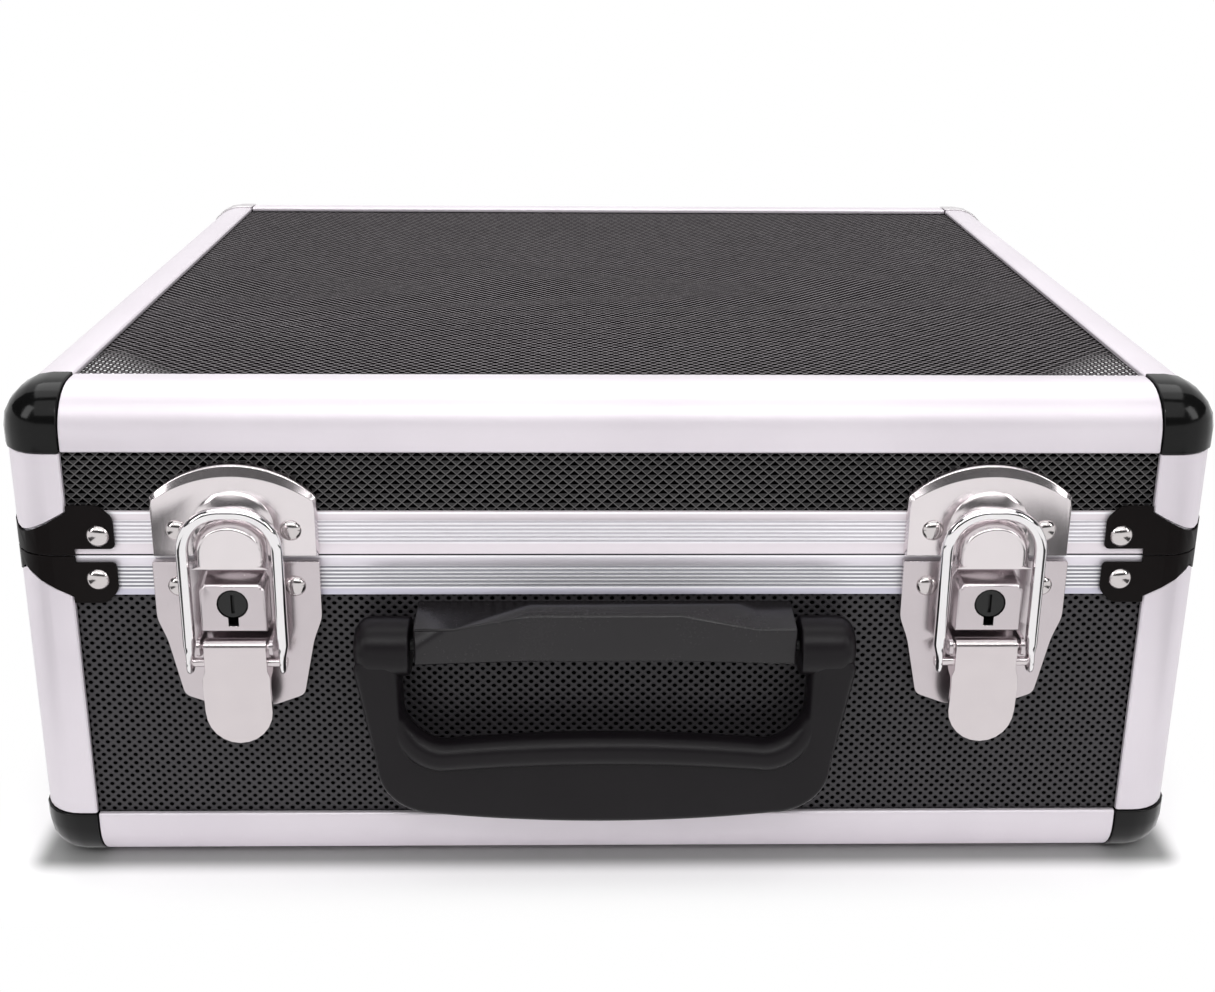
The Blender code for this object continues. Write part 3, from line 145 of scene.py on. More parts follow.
class Finish:
    """A material under construction, with its Principled shader, or the world's own nodes."""

    def __init__(self, name, tree=None):
        """Starts a new material, or goes on with a tree of nodes that is there already."""
        if tree is None:
            self.material = bpy.data.materials.new(name)
            self.material.use_nodes = True
            tree = self.material.node_tree
        self.tree = tree
        self.shader = tree.nodes.get("Principled BSDF")

    def node(self, kind, settings=None, inputs=None, output=0):
        made = self.tree.nodes.new(kind)
        for name, value in (settings or {}).items():
            setattr(made, name, value)
        for name, value in (inputs or {}).items():
            self.feed(made.inputs[name], value)
        return Signal(self, made.outputs[output])

    def feed(self, socket, value):
        if isinstance(value, Signal):
            self.tree.links.new(value.socket, socket)
        else:
            socket.default_value = value

    def place(self):
        """The place on the piece, as its X, Y and Z."""
        spot = self.node("ShaderNodeTexCoord", output="Object")
        split = self.node("ShaderNodeSeparateXYZ", inputs={0: spot}).socket.node
        return spot, [Signal(self, socket) for socket in split.outputs]

    def noise(self, spot, scale, detail=2.0, roughness=0.5, stretch=(1, 1, 1)):
        """A noise from 0 to 1; stretch widens its grain along an axis."""
        turned = self.node("ShaderNodeMapping", inputs={0: spot, "Scale": tuple(1 / s for s in stretch)})
        inputs = {"Vector": turned, "Scale": scale, "Detail": detail, "Roughness": roughness}
        return self.node("ShaderNodeTexNoise", inputs=inputs)

    def mix(self, factor, first, second):
        """A colour between two, each of them a linked colour or (r, g, b)."""
        made = self.tree.nodes.new("ShaderNodeMix")
        made.data_type = "RGBA"
        self.feed(made.inputs[0], factor)
        for socket, colour in ((made.inputs[6], first), (made.inputs[7], second)):
            self.feed(socket, colour if isinstance(colour, Signal) else (*colour, 1))
        return Signal(self, made.outputs[2])

    def bump(self, height, distance, strength=1.0):
        inputs = {"Height": height, "Distance": distance, "Strength": strength}
        self.feed(self.shader.inputs["Normal"], self.node("ShaderNodeBump", inputs=inputs))

    def set(self, **values):
        """Shader sockets by name, with _ for a space."""
        for name, value in values.items():
            plain = isinstance(value, tuple) and len(value) == 3
            title = name.replace("_", " ")
            wanted = title if title in self.shader.inputs else title.title()
            self.feed(self.shader.inputs[wanted], (*value, 1) if plain else value)
        return self.material


print("shader maths ready")

# %% [markdown]
# ## Silver extrusions
#
# The edges are extruded aluminium, blasted and anodised: satin, with very fine lines along the length
# left by the die. The lines could be drawn as geometry, but they are far thinner than a pixel, so a
# stretched noise in roughness and bump carries them. The ribbed bands at the seam carry painted light:
# pale rib tops and edges as painted highlights, and darker grooves, a darker strip away from the seam,
# cool on the base band, and black at the seam as painted shade.

# %% Satin silver
SILVER = (0.690, 0.645, 0.690)
SILVER_SHADE = (0.64, 0.595, 0.64)


SEAM_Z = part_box("base_band")[1].z
GROOVE_PITCH, GROOVES, GROOVE_MIDDLE_SHARE = 1.1 * MM, 6, 0.54  # as in the frame's own bands
# The pale colour of the painted highlights on the bands' rib tops and edges.
PAINTED_HIGHLIGHT = (0.94, 0.93, 0.96)


def ribbed(made, rise, colour, height, highlight_height, flat, groove_shade, shade):
    """Painted light over a ribbed band: pale rib tops and a pale edge stripe as painted highlights, and
    darker grooves, a darker strip away from the seam and black at the seam as painted shade; rise is the
    height from the seam, and the fourth argument the height of the pale edge stripe.
    """
    first = height * GROOVE_MIDDLE_SHARE - (GROOVES - 1) / 2 * GROOVE_PITCH
    last = first + (GROOVES - 1) * GROOVE_PITCH
    ribs = rise.step(first - 0.6 * MM, first - 0.5 * MM) * (1 - rise.step(last + 0.5 * MM, last + 0.6 * MM))
    off = (rise - first).from_middle(GROOVE_PITCH)
    colour = made.mix(0.6, colour, flat)
    # Painted shade: a darker strip along the band's edge away from the seam, cool on the base band.
    colour = made.mix(rise.step(last + 0.6 * MM, last + 1.0 * MM) * 0.6, colour, shade)
    # Painted highlight: the rib tops are painted pale.
    colour = made.mix(ribs, colour, PAINTED_HIGHLIGHT)
    # Painted shade: the grooves between the ribs are painted darker.
    colour = made.mix(ribs * (1 - off.step(0.16 * MM, 0.36 * MM)), colour, groove_shade)
    # Painted highlight: a pale stripe along the band's edge.
    colour = made.mix(1 - abs(rise - highlight_height).step(0.2 * MM, 0.36 * MM), colour, PAINTED_HIGHLIGHT)
    # Painted shade: a black strip where the band meets the seam.
    return made.mix(1 - rise.step(0.06 * MM, 0.24 * MM), colour, (0.02, 0.02, 0.02))


def satin_silver(name, along, band=None):
    """Anodised aluminium whose die lines run along an axis, 0 for X; band adds a ribbed band's painted
    highlights and shade.
    """
    made = Finish(name)
    spot, axes = made.place()
    stretch = [1.0, 1.0, 1.0]
    stretch[along] = 60.0
    lines = made.noise(spot, 5200, 3, 0.6, stretch)
    clouds = made.noise(spot, 22, 3)
    grain = made.noise(spot, 3800, 2, 0.7)
    worn = made.noise(spot, 240, 4, 0.7).step(0.66, 0.78)
    colour = made.mix(clouds.step(0.3, 0.75) * 0.8 + lines * 0.2, SILVER, SILVER_SHADE)
    if band:
        colour = ribbed(made, (axes[2] - SEAM_Z) * band[0], colour, *band[1:])
    made.set(Base_Color=made.mix(worn * 0.25, colour, (0.74, 0.71, 0.73)))
    made.set(Metallic=0.50, Roughness=0.36 + lines * 0.08 + grain * 0.05 - worn * 0.06)
    made.bump(lines * 0.7 + grain * 0.3, 0.00003, 0.5)
    return made.material


satin = [satin_silver(f"satin_silver_along_{axis}", index) for index, axis in enumerate("xyz")]
# Each band: its direction from the seam, its height, the height of its painted edge highlight, its flat
# colour, the painted shade of its grooves, and the painted shade along its edge away from the seam.
lid_band_silver = satin_silver("satin_silver_lid_band", 0, (
    1, 12.3 * MM, 12.0 * MM, (0.80, 0.74, 0.78), (0.54, 0.51, 0.56), (0.76, 0.70, 0.74)))
base_band_silver = satin_silver("satin_silver_base_band", 0, (
    -1, 11.7 * MM, 0.5 * MM, (0.80, 0.77, 0.84), (0.28, 0.28, 0.31), (0.46, 0.46, 0.57)))
print("silver finishes", len(satin) + 2)

# %% [markdown]
# ## Dimpled black boards
#
# The laminate is pressed with a net of fine ridges round small hollows in staggered rows. The net
# is two rectangular grids, one shifted by half a step both ways; the cells between them are
# diamonds. There are tens of thousands of hollows, so they are relief and colour in the material.
# The light on them is painted into their colour, differently on each part: the hollows are painted
# black as painted shade and the ridges paler as painted highlight. On the base the hollows are small
# round black spots, under the lid's overhanging edge only their upper halves are painted black, and on
# the top they are flat dark ovals in a net painted pale as sheen, with painted white glints near the
# front corners.

# %% Boards
DIMPLE_STEP = 2.93 * MM
DIMPLE_ROW = 2.65 * MM
BOARD_PAINTED_LIGHT = {  # painted light for each part: ridge colour with a painted highlight, field colour, size of the hollows, whether their lower half is painted lit, and shine
    "base": ((0.042, 0.039, 0.042), (0.028, 0.026, 0.029), 0.42, False, 0.3),
    "lid": ((0.095, 0.091, 0.091), (0.014, 0.013, 0.014), 0.84, True, 0.3),
    "top": ((0.175, 0.163, 0.170), (0.110, 0.102, 0.107), 0.62, False, 0.0),
}
PAINTED_GLINT_X, PAINTED_GLINT_Y = 138 * MM, -103 * MM  # the top's front corners, near which white glints are painted


def dimpled_board(name, across, up, painted_light):
    """Black laminate whose hollows lie in the plane of two axes."""
    ridge_highlight_colour, field_colour, size, lit, shine = BOARD_PAINTED_LIGHT[painted_light]
    made = Finish(name)
    spot, axes = made.place()
    wobble = (made.noise(spot, 420, 2) - 0.5) * 0.16
    cells = []
    for shift in (0.0, 0.5):
        du = axes[across] / DIMPLE_STEP + shift
        dv = axes[up] / DIMPLE_ROW + shift
        du, dv = du.signed(1.0) * 2, dv.signed(1.0) * 2
        cells.append((abs(du) + abs(dv), (du * du + dv * dv) ** 0.5, dv))
    second = (cells[0][0] - cells[1][0]).maths("GREATER_THAN", 0)
    edge, reach, rise = (one + second * (other - one) for one, other in zip(*cells))
    hollow_and_shade = 1 - (reach + wobble).step(size * 0.72, size * 1.22)
    # Under the lid's overhanging edge only the upper half of each of the hollows is painted black, as
    # painted shade; the lower half is painted lit.
    if lit:
        hollow_and_shade = (1 - (edge + wobble).step(size * 0.80, size * 1.15)) * (rise + wobble).step(-0.20, 0.02)
    ridge_and_highlight = (edge + wobble * 0.5).step(0.80, 0.97)
    clouds = made.noise(spot, 30, 3)
    grain = made.noise(spot, 2600, 3, 0.7)
    dust = made.noise(spot, 900, 2, 0.8).step(0.72, 0.80)
    # Painted highlight: the ridges are painted paler than the field, and on the top the whole net is
    # painted pale as sheen.
    colour = made.mix((ridge_and_highlight + (clouds - 0.5) * 0.5) * 0.9, field_colour, ridge_highlight_colour)
    colour = made.mix(dust * 0.08, colour, (0.16, 0.16, 0.17))
    # Painted shade: the hollows are painted black.
    colour = made.mix(hollow_and_shade, colour, (0.0, 0.0, 0.0))
    if painted_light == "top":
        # Painted highlights: white glints in the hollows near the top's front corners.
        away = (PAINTED_GLINT_X - abs(axes[0])).largest(0) + (axes[1] - PAINTED_GLINT_Y).largest(0)
        painted_glint = (1 - away.step(8 * MM, 26 * MM)) * (1 - reach.step(0.18, 0.32))
        colour = made.mix(painted_glint, colour, (0.9, 0.9, 0.9))
    made.set(Base_Color=colour, Metallic=hollow_and_shade if shine else 0.0)
    made.set(Roughness=0.30 + clouds * 0.08 + grain * 0.06 + dust * 0.2 - ridge_and_highlight * 0.08)
    made.set(Specular_IOR_Level=shine)
    made.bump(ridge_and_highlight * 0.3 - hollow_and_shade + grain * 0.03, 0.00022, 0.7)
    return made.material


board_finish = {
    "base_front": dimpled_board("board_base_front", 0, 2, "base"),
    "base_side": dimpled_board("board_base_side", 1, 2, "base"),
    "lid_front": dimpled_board("board_lid_front", 0, 2, "lid"),
    "lid_side": dimpled_board("board_lid_side", 1, 2, "lid"),
    "flat": dimpled_board("board_flat", 0, 1, "top"),
}
print("dimples about", round(0.287 / DIMPLE_STEP) * round(0.222 / DIMPLE_ROW) * 2, "on the top board")

# %% [markdown]
# ## Black mouldings and plated steel
#
# The ball corners are glossy, the seam corners a little duller, the handle finely grained and the
# bracket smooth. The latches are bright plated steel: nearly a mirror, so how they look comes from the
# soft bends of their shape; the finish adds faint waviness, brushing and pits. The lock plate, the lever
# and the rivets get darker copies of the plating's colour, as painted shade.

# %% Black plastics
def black_plastic(name, colour, roughness, shine, grain_scale, grain_depth):
    made = Finish(name)
    spot, _ = made.place()
    grain = made.noise(spot, grain_scale, 3, 0.65)
    clouds = made.noise(spot, 45, 3)
    scuffs = made.noise(spot, 320, 5, 0.75).step(0.64, 0.75)
    lighter = tuple(channel * 1.5 + 0.003 for channel in colour)
    made.set(Base_Color=made.mix(clouds * 0.7 + scuffs * 0.3, colour, lighter))
    made.set(Roughness=roughness + clouds * 0.05 + scuffs * 0.08 + grain * 0.04)
    made.set(Specular_IOR_Level=shine)
    made.bump(grain, grain_depth, 0.6)
    return made.material


gloss_black = black_plastic("gloss_black_corner", (0.002, 0.002, 0.002), 0.09, 0.20, 900, 0.00001)
seam_black = black_plastic("semi_gloss_seam_corner", (0.003, 0.002, 0.002), 0.34, 0.07, 1500, 0.00002)
handle_black = black_plastic("grained_handle", (0.004, 0.003, 0.004), 0.30, 0.18, 1700, 0.00005)
bracket_black = black_plastic("smooth_bracket", (0.010, 0.009, 0.010), 0.22, 0.30, 1100, 0.00001)


# %% Plated steel and other metals
def plated(name, colour, roughness, waviness=0.00004, brushing=0.0, metallic=1.0):
    made = Finish(name)
    spot, _ = made.place()
    waves = made.noise(spot, 130, 2)
    fine = made.noise(spot, 2400, 3, 0.7, (1, 1, 14))
    pits = made.noise(spot, 700, 3, 0.8).step(0.70, 0.78)
    shade = tuple(channel * 0.86 for channel in colour)
    made.set(Base_Color=made.mix(waves * 0.5 + pits * 0.5, colour, shade))
    made.set(Metallic=metallic, Roughness=roughness + fine * brushing + pits * 0.15 + waves * 0.03)
    made.bump(waves + fine * brushing * 0.3, waviness, 0.5)
    return made.material


plate_chrome = plated("plated_flat", (0.80, 0.745, 0.76), 0.15, 0.00006, 0.08)
wire_chrome = plated("plated_wire", (0.88, 0.86, 0.87), 0.07)
# Painted shade: the rivets, lock plate and lever are darker copies of the plating's colour.
painted_shade_rivet_chrome = plated("plated_rivet_painted_shade", (0.66, 0.62, 0.62), 0.14)
painted_shade_lock_chrome = plated("plated_lock_painted_shade", (0.61, 0.555, 0.575), 0.17, 0.00006, 0.08)
painted_shade_lever_chrome = plated("plated_lever_painted_shade", (0.70, 0.64, 0.655), 0.16, 0.00006, 0.08)
lock_dark = plated("dark_lock_core", (0.006, 0.006, 0.006), 0.42, 0.00004, 0.1, 0.2)
hinge_steel = plated("hinge_steel", (0.62, 0.60, 0.62), 0.24, 0.00004, 0.15)
corner_silver = plated("cast_silver_corner", (0.70, 0.67, 0.69), 0.24, 0.00005, 0.05)
print("finishes", len(bpy.data.materials))

# %% [markdown]
# ## Camera, floor and light
#
# The photograph is taken from a little above the lid's height, close to the middle, with a normal
# lens; its upright lines stay nearly parallel because the picture is shifted as well as tilted.
# The studio is pale all round. Bright metal only looks like metal when it has something dark to
# reflect, so a tent of dark cards stands in front of the case and over it, with the lamps inside it
# and a few strips on the table. They show in reflections alone.

# %% Camera
camera = bpy.data.objects.new("camera", bpy.data.cameras.new("camera"))
bpy.context.collection.objects.link(camera)
camera.data.lens = 43.01
camera.data.sensor_width = 36
camera.data.shift_x, camera.data.shift_y = 0.0044, -0.12
camera.data.clip_start, camera.data.clip_end = 0.01, 30
yaw, pitch, roll = (math.radians(angle) for angle in (-1.116, -16.965, -0.452))
turn = Matrix.Rotation(yaw, 3, "Z") @ Matrix.Rotation(pitch, 3, "X") @ Matrix.Rotation(roll, 3, "Y")
right, forward, up = (turn @ Vector(axis) for axis in ((1, 0, 0), (0, 1, 0), (0, 0, 1)))
place = Matrix((right, up, -forward)).transposed().to_4x4()
camera.matrix_world = Matrix.Translation((-0.0101, -0.47565, 0.2604)) @ place
bpy.context.scene.camera = camera
print("camera at", [round(value, 3) for value in camera.matrix_world.translation])


# %% Studio
def flat_panel(name, corners):
    """A rectangle from four corners, in order."""
    shape = bmesh.new()
    shape.faces.new([shape.verts.new(corner) for corner in corners])
    mesh = bpy.data.meshes.new(name)
    shape.to_mesh(mesh)
    shape.free()
    made = bpy.data.objects.new(name, mesh)
    bpy.context.collection.objects.link(made)
    made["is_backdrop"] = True
    return made


def seen_rays(made):
    """1 for rays from the camera, off a mirror or through glass, 0 for the light on things."""
    found = [made.node("ShaderNodeLightPath", output=ray)
             for ray in ("Is Camera Ray", "Is Glossy Ray", "Is Transmission Ray")]
    return (found[0] + found[1] + found[2]).smallest(1)


FOOT_X, FOOT_Y = 158 * MM, 124 * MM  # half the case's foot, where the floor's shade is strongest
floor_finish = Finish("pale_floor")
_, floor_axes = floor_finish.place()
beyond_x = (abs(floor_axes[0]) - FOOT_X).largest(0)
beyond_y = (abs(floor_axes[1] - 5 * MM) - FOOT_Y).largest(0)
beyond = (beyond_x * beyond_x + beyond_y * beyond_y) ** 0.5
own_share = 1 - beyond.step(0, 30 * MM)
white = floor_finish.node("ShaderNodeEmission", inputs={"Color": (1, 1, 1, 1), "Strength": 1.0})
floor_mix = floor_finish.node("ShaderNodeMixShader").socket.node
from_camera = floor_finish.node("ShaderNodeLightPath", output="Is Camera Ray")
# A painted contact shadow round the case's foot, which only camera rays see.
painted_contact_shadow = (1 - beyond.step(1.0 * MM, 9 * MM)) * from_camera
floor_shade = floor_finish.mix(painted_contact_shadow, (0.90, 0.89, 0.90), (0.26, 0.26, 0.26))
floor_finish.set(Base_Color=floor_shade, Roughness=0.8)
floor_finish.feed(floor_mix.inputs[0], 1 - seen_rays(floor_finish) * (1 - own_share))
floor_finish.tree.links.new(white.socket, floor_mix.inputs[1])
floor_finish.tree.links.new(floor_finish.shader.outputs[0], floor_mix.inputs[2])
floor_finish.tree.links.new(floor_mix.outputs[0], floor_finish.tree.nodes["Material Output"].inputs[0])
FLOOR_REACH = 6.0
floor = flat_panel("floor", [(x, y, 0) for x, y in (
    (-FLOOR_REACH, -FLOOR_REACH), (FLOOR_REACH, -FLOOR_REACH),
    (FLOOR_REACH, FLOOR_REACH), (-FLOOR_REACH, FLOOR_REACH))])
floor.data.materials.append(floor_finish.material)

world = bpy.data.worlds.new("pale_studio")
world.use_nodes = True
bpy.context.scene.world = world
sky = Finish("sky", world.node_tree)
WORLD_LIGHT = 0.55
backdrop = sky.tree.nodes["Background"]
sky.feed(backdrop.inputs["Color"], (1, 1, 1, 1))
sky.feed(backdrop.inputs["Strength"], WORLD_LIGHT + seen_rays(sky) * (1 - WORLD_LIGHT))


def softbox(name, place, target, size, watts):
    lamp = bpy.data.lights.new(name, "AREA")
    lamp.shape = "RECTANGLE"
    lamp.size, lamp.size_y = size
    lamp.energy = watts
    made = bpy.data.objects.new(name, lamp)
    bpy.context.collection.objects.link(made)
    aim = Vector(target) - Vector(place)
    made.matrix_world = Matrix.Translation(place) @ aim.to_track_quat("-Z", "Y").to_matrix().to_4x4()
    return made


softbox("soft_overhead", (0.0, 0.30, 1.5), (0, 0, 0.1), (2.2, 1.35), 19)
softbox("soft_front_top", (0.0, -0.92, 1.12), (0, -0.1, 0.1), (2.0, 0.95), 8)
softbox("strip_front", (0.0, -0.95, 0.98), (0, -0.13, 0.06), (1.0, 0.035), 2.5)
softbox("soft_key_left", (-1.05, -0.75, 0.75), (0, 0, 0.08), (0.3, 0.6), 2.5)
softbox("soft_fill_right", (1.1, -0.7, 0.75), (0, 0, 0.08), (0.3, 0.6), 2.5)

TENT_REACH = 2.0
TENT_RISE = (13, 24, 36, 48, 60, 72, 88)  # degrees above the floor
rings = []
for rise in TENT_RISE:
    level, out = math.sin(math.radians(rise)), math.cos(math.radians(rise))
    ring = []
    for turn in range(-110, 111, 10):
        side, ahead = math.sin(math.radians(turn)), math.cos(math.radians(turn))
        ring.append((TENT_REACH * out * side, -TENT_REACH * out * ahead - 0.1, TENT_REACH * level))
    rings.append(ring)
sheets = [(lower[i], lower[i + 1], upper[i + 1], upper[i])
          for lower, upper in zip(rings, rings[1:]) for i in range(len(lower) - 1)]
for middle_x, half in ((-0.31, 0.07), (0.31, 0.07)):
    sheets.append([(middle_x + across * half, y, 2 * MM) for across, y in
                   ((-1, -0.42), (1, -0.42), (1, -0.15), (-1, -0.15))])
card_finish = Finish("dark_card")
card_finish.set(Base_Color=(0.012, 0.012, 0.013), Roughness=0.9)
for index, corners in enumerate(sheets):
    card = flat_panel(f"dark_card_{index}", corners)
    card.data.materials.append(card_finish.material)
    card.visible_camera = card.visible_diffuse = card.visible_shadow = False
view = bpy.context.scene.view_settings
view.view_transform = "Standard"

# %% [markdown]
# ## The frame's own pieces, with softened edges
#
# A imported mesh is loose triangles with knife-sharp edges, and no real edge is that sharp: the eye
# reads the thin highlight on a rounded one. Each hard part is copied, its doubles merged, and its
# edges rounded by a Bevel modifier, by more on thick mouldings than on thin sheet. The boards lie
# inside the extrusions, so theirs never show, and they keep the frame's own mesh. The handle, the
# bails and the catch plates aren't in this list: the next steps make them afresh.

# %% Softened copies
record = frame["record"]
body_of = {node: body for body, members in record["behaviour"]["bodies"].items() for node in members}
pieces = {}


def merged_copy(node):
    """A bmesh of a node with its doubles merged and its flat faces whole."""
    shape = bmesh.new()
    shape.from_mesh(nodes[node].data)
    bmesh.ops.remove_doubles(shape, verts=shape.verts, dist=0.001 * MM)
    bmesh.ops.dissolve_limit(shape, angle_limit=math.radians(0.5), verts=shape.verts, edges=shape.edges)
    return shape


def shown(name, shape, material, body, stands_for=(), smooth_degrees=35):
    """A finished piece from a bmesh in the frame's own place."""
    mesh = bpy.data.meshes.new(name)
    shape.to_mesh(mesh)
    shape.free()
    mesh.materials.append(material)
    mesh.shade_smooth()
    mesh.set_sharp_from_angle(angle=math.radians(smooth_degrees))
    made = bpy.data.objects.new(name, mesh)
    bpy.context.collection.objects.link(made)
    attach(made, body)
    if stands_for:
        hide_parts(*stands_for)
    pieces[name] = made
    return made


def rounded_edges(made, width, segments=2, angle=35):
    """Rounds a piece's hard edges."""
    bevel = made.modifiers.new("rounded", "BEVEL")
    bevel.width = width
    bevel.segments = segments
    bevel.limit_method = "ANGLE"
    bevel.angle_limit = math.radians(angle)
    bevel.harden_normals = True
    return made


SKIN = {}
for layer in ("base", "lid"):
    for side in ("front", "rear", "left", "right"):
        SKIN[f"{layer}_edge_{side}"] = (satin[0 if side in ("front", "rear") else 1], 0.25)
        facing = "front" if side in ("front", "rear") else "side"
        SKIN[f"{layer}_{side}_board"] = (board_finish[f"{layer}_{facing}"], None)
    for corner in ("front_left", "front_right", "rear_left", "rear_right"):
        silver = layer == "lid" and corner.startswith("rear")
        SKIN[f"{layer}_upright_{corner}"] = (satin[2], 0.25)
        SKIN[f"{layer}_ball_corner_{corner}"] = (corner_silver if silver else gloss_black, 0.4)
        SKIN[f"{layer}_seam_corner_{corner}"] = (seam_black, 0.2)
SKIN["base_bottom_board"] = SKIN["lid_top_board"] = (board_finish["flat"], None)
SKIN["base_band"], SKIN["lid_band"] = (base_band_silver, 0.0), (lid_band_silver, 0.0)
for side in ("left", "right"):
    SKIN[f"{side}_lock_plate"], SKIN[f"{side}_lever"] = (painted_shade_lock_chrome, 0.3), (painted_shade_lever_chrome, 0.3)
    SKIN[f"{side}_lock_plug"] = (lock_dark, 0.15)
SKIN["handle_bracket"] = (bracket_black, 0.4)
SKIN["handle_pin"], SKIN["hinge_pin"] = (lock_dark, 0.2), (hinge_steel, 0.2)
SKIN["hinge_lower_leaf"] = SKIN["hinge_upper_leaf"] = (hinge_steel, 0.1)

for node, (finish, softness) in SKIN.items():
    if softness is None:
        nodes[node].data.materials.clear()
        nodes[node].data.materials.append(finish)
        continue
    made = shown(f"{node}_finished", merged_copy(node), finish, body_of[node], [node])
    if softness:
        rounded_edges(made, softness * MM)
print("finished copies", len(pieces), "with the frame's own mesh", len(SKIN) - len(pieces))

# %% [markdown]
# ## The handle, again and smoother
#
# The handle is moulded in one piece: a flat flange with a round roll along its inner edge for the
# fingers, and a boss at each end that turns on the pin. The frame's handle has wide facets that its
# checks can afford, so here the same section is swept again in many small steps. Each section lies
# between a point of the inner outline and one of the outer, so the flange can widen at the grip.

# %% Handle
def arc(centre, radius, start, end, steps):
    """Points on an arc, or on part of an oval where radius is a pair, from start to end in degrees."""
    wide, tall = radius if isinstance(radius, tuple) else (radius, radius)
    angles = [math.radians(start + (end - start) * step / steps) for step in range(steps + 1)]
    return [(centre[0] + wide * math.cos(angle), centre[1] + tall * math.sin(angle)) for angle in angles]


def swept(rings):
    """A bmesh skin from ring to ring, closed at both ends."""
    shape = bmesh.new()
    loops = [[shape.verts.new(point) for point in ring] for ring in rings]
    for first, second in zip(loops, loops[1:]):
        for index in range(len(first)):
            turn = (index + 1) % len(first)
            shape.faces.new((first[index], first[turn], second[turn], second[index]))
    shape.faces.new(reversed(loops[0]))
    shape.faces.new(loops[-1])
    bmesh.ops.recalc_face_normals(shape, faces=shape.faces)
    return shape


def spun(profile, place, axis, steps=48):
    """A bmesh turned from a profile of (distance along the axis, radius)."""
    shape = bmesh.new()
    points = [shape.verts.new((radius, 0, along)) for along, radius in profile]
    edges = [shape.edges.new(pair) for pair in zip(points, points[1:])]
    bmesh.ops.spin(
        shape, geom=points + edges, cent=(0, 0, 0), axis=(0, 0, 1), dvec=(0, 0, 0),
        angle=math.tau, steps=steps, use_merge=True, use_normal_flip=False, use_duplicate=False,
    )
    bmesh.ops.remove_doubles(shape, verts=shape.verts, dist=0.002 * MM)
    bmesh.ops.holes_fill(shape, edges=[edge for edge in shape.edges if edge.is_boundary], sides=0)
    turn = Vector((0, 0, 1)).rotation_difference(Vector(axis)).to_matrix().to_4x4()
    bmesh.ops.transform(shape, verts=shape.verts, matrix=Matrix.Translation(place) @ turn)
    bmesh.ops.recalc_face_normals(shape, faces=shape.faces)
    return shape


def merged(shapes):
    """One bmesh from several."""
    whole = bmesh.new()
    for shape in shapes:
        mesh = bpy.data.meshes.new("part")
        shape.to_mesh(mesh)
        shape.free()
        whole.from_mesh(mesh)
        bpy.data.meshes.remove(mesh)
    return whole


FRONT_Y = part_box("base_band")[0].y - 0.8 * MM  # the shell's front; the band lies a little behind it
low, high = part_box("handle")
HANDLE_X, HALF = (low.x + high.x) / 2, (high.x - low.x) / 2
PIN_Z, PIN_OUT = SEAM_Z - 23.0 * MM, 6.4 * MM
BOSS, BOSS_ROUND, BOSS_LENGTH = 7.8 * MM, 4.5 * MM, 14.7 * MM
GRIP_BACK = 0.6 * MM
INNER_X, TAPER = HALF - 12.5 * MM, 5.2 * MM
GRIP_DROP, GRIP_BEND = 26.8 * MM, (11.5 * MM, 10.5 * MM)
FLANGE_DROP, FLANGE_BEND = 49.6 * MM, (15.0 * MM, 14.5 * MM)
ROLL = 4.5 * MM


def grip_section(width, front, rise):
    """The roll, the flange's face and edge, and the slope behind, as (across, out) points."""
    middle = front + rise - ROLL
    stop = math.degrees(math.asin(1 - rise / ROLL))
    section = arc((ROLL, middle), ROLL, 215, stop, 22)
    section += [(section[-1][0] + step * 0.3 * MM, front) for step in (1, 3)]
    section += arc((width - 2 * MM, front - 2 * MM), 2 * MM, 90, 0, 6)
    section += arc((width - 2 * MM, GRIP_BACK + 2 * MM), 2 * MM, 0, -90, 4)
    return section + [(5.6 * MM, GRIP_BACK)]


def grip_stations():
    """Points (x, height above the pin) of the inner and the outer outline, and the roll's share."""
    inner_low, outer_low = GRIP_DROP - GRIP_BEND[1], FLANGE_DROP - FLANGE_BEND[1]
    stations = []
    for step in range(17):
        depth = outer_low * step / 17
        lean = TAPER * max(depth - BOSS_ROUND, 0) / (outer_low - BOSS_ROUND)
        missing = BOSS_ROUND - math.sqrt(BOSS_ROUND ** 2 - max(BOSS_ROUND - depth, 0) ** 2)
        stations.append(((INNER_X, -inner_low * step / 17), (HALF - lean - missing, -depth), 0))
    inner_centre = (INNER_X - GRIP_BEND[0], -inner_low)
    outer_centre = (HALF - TAPER - FLANGE_BEND[0], -outer_low)
    bends = zip(arc(inner_centre, GRIP_BEND, 0, -90, 24), arc(outer_centre, FLANGE_BEND, 0, -90, 24))
    for step, (inner, outer) in enumerate(bends):
        share = step / 24
        stations.append((inner, outer, share * share * (3 - 2 * share)))
    for step in range(1, 21):
        left = 1 - step / 20
        inner = (inner_centre[0] * left, -GRIP_DROP + 2.0 * MM * (1 - left ** 2))
        outer = (outer_centre[0] * left, -FLANGE_DROP - 2.5 * MM * (1 - left ** 2))
        stations.append((inner, outer, 1))
    return stations


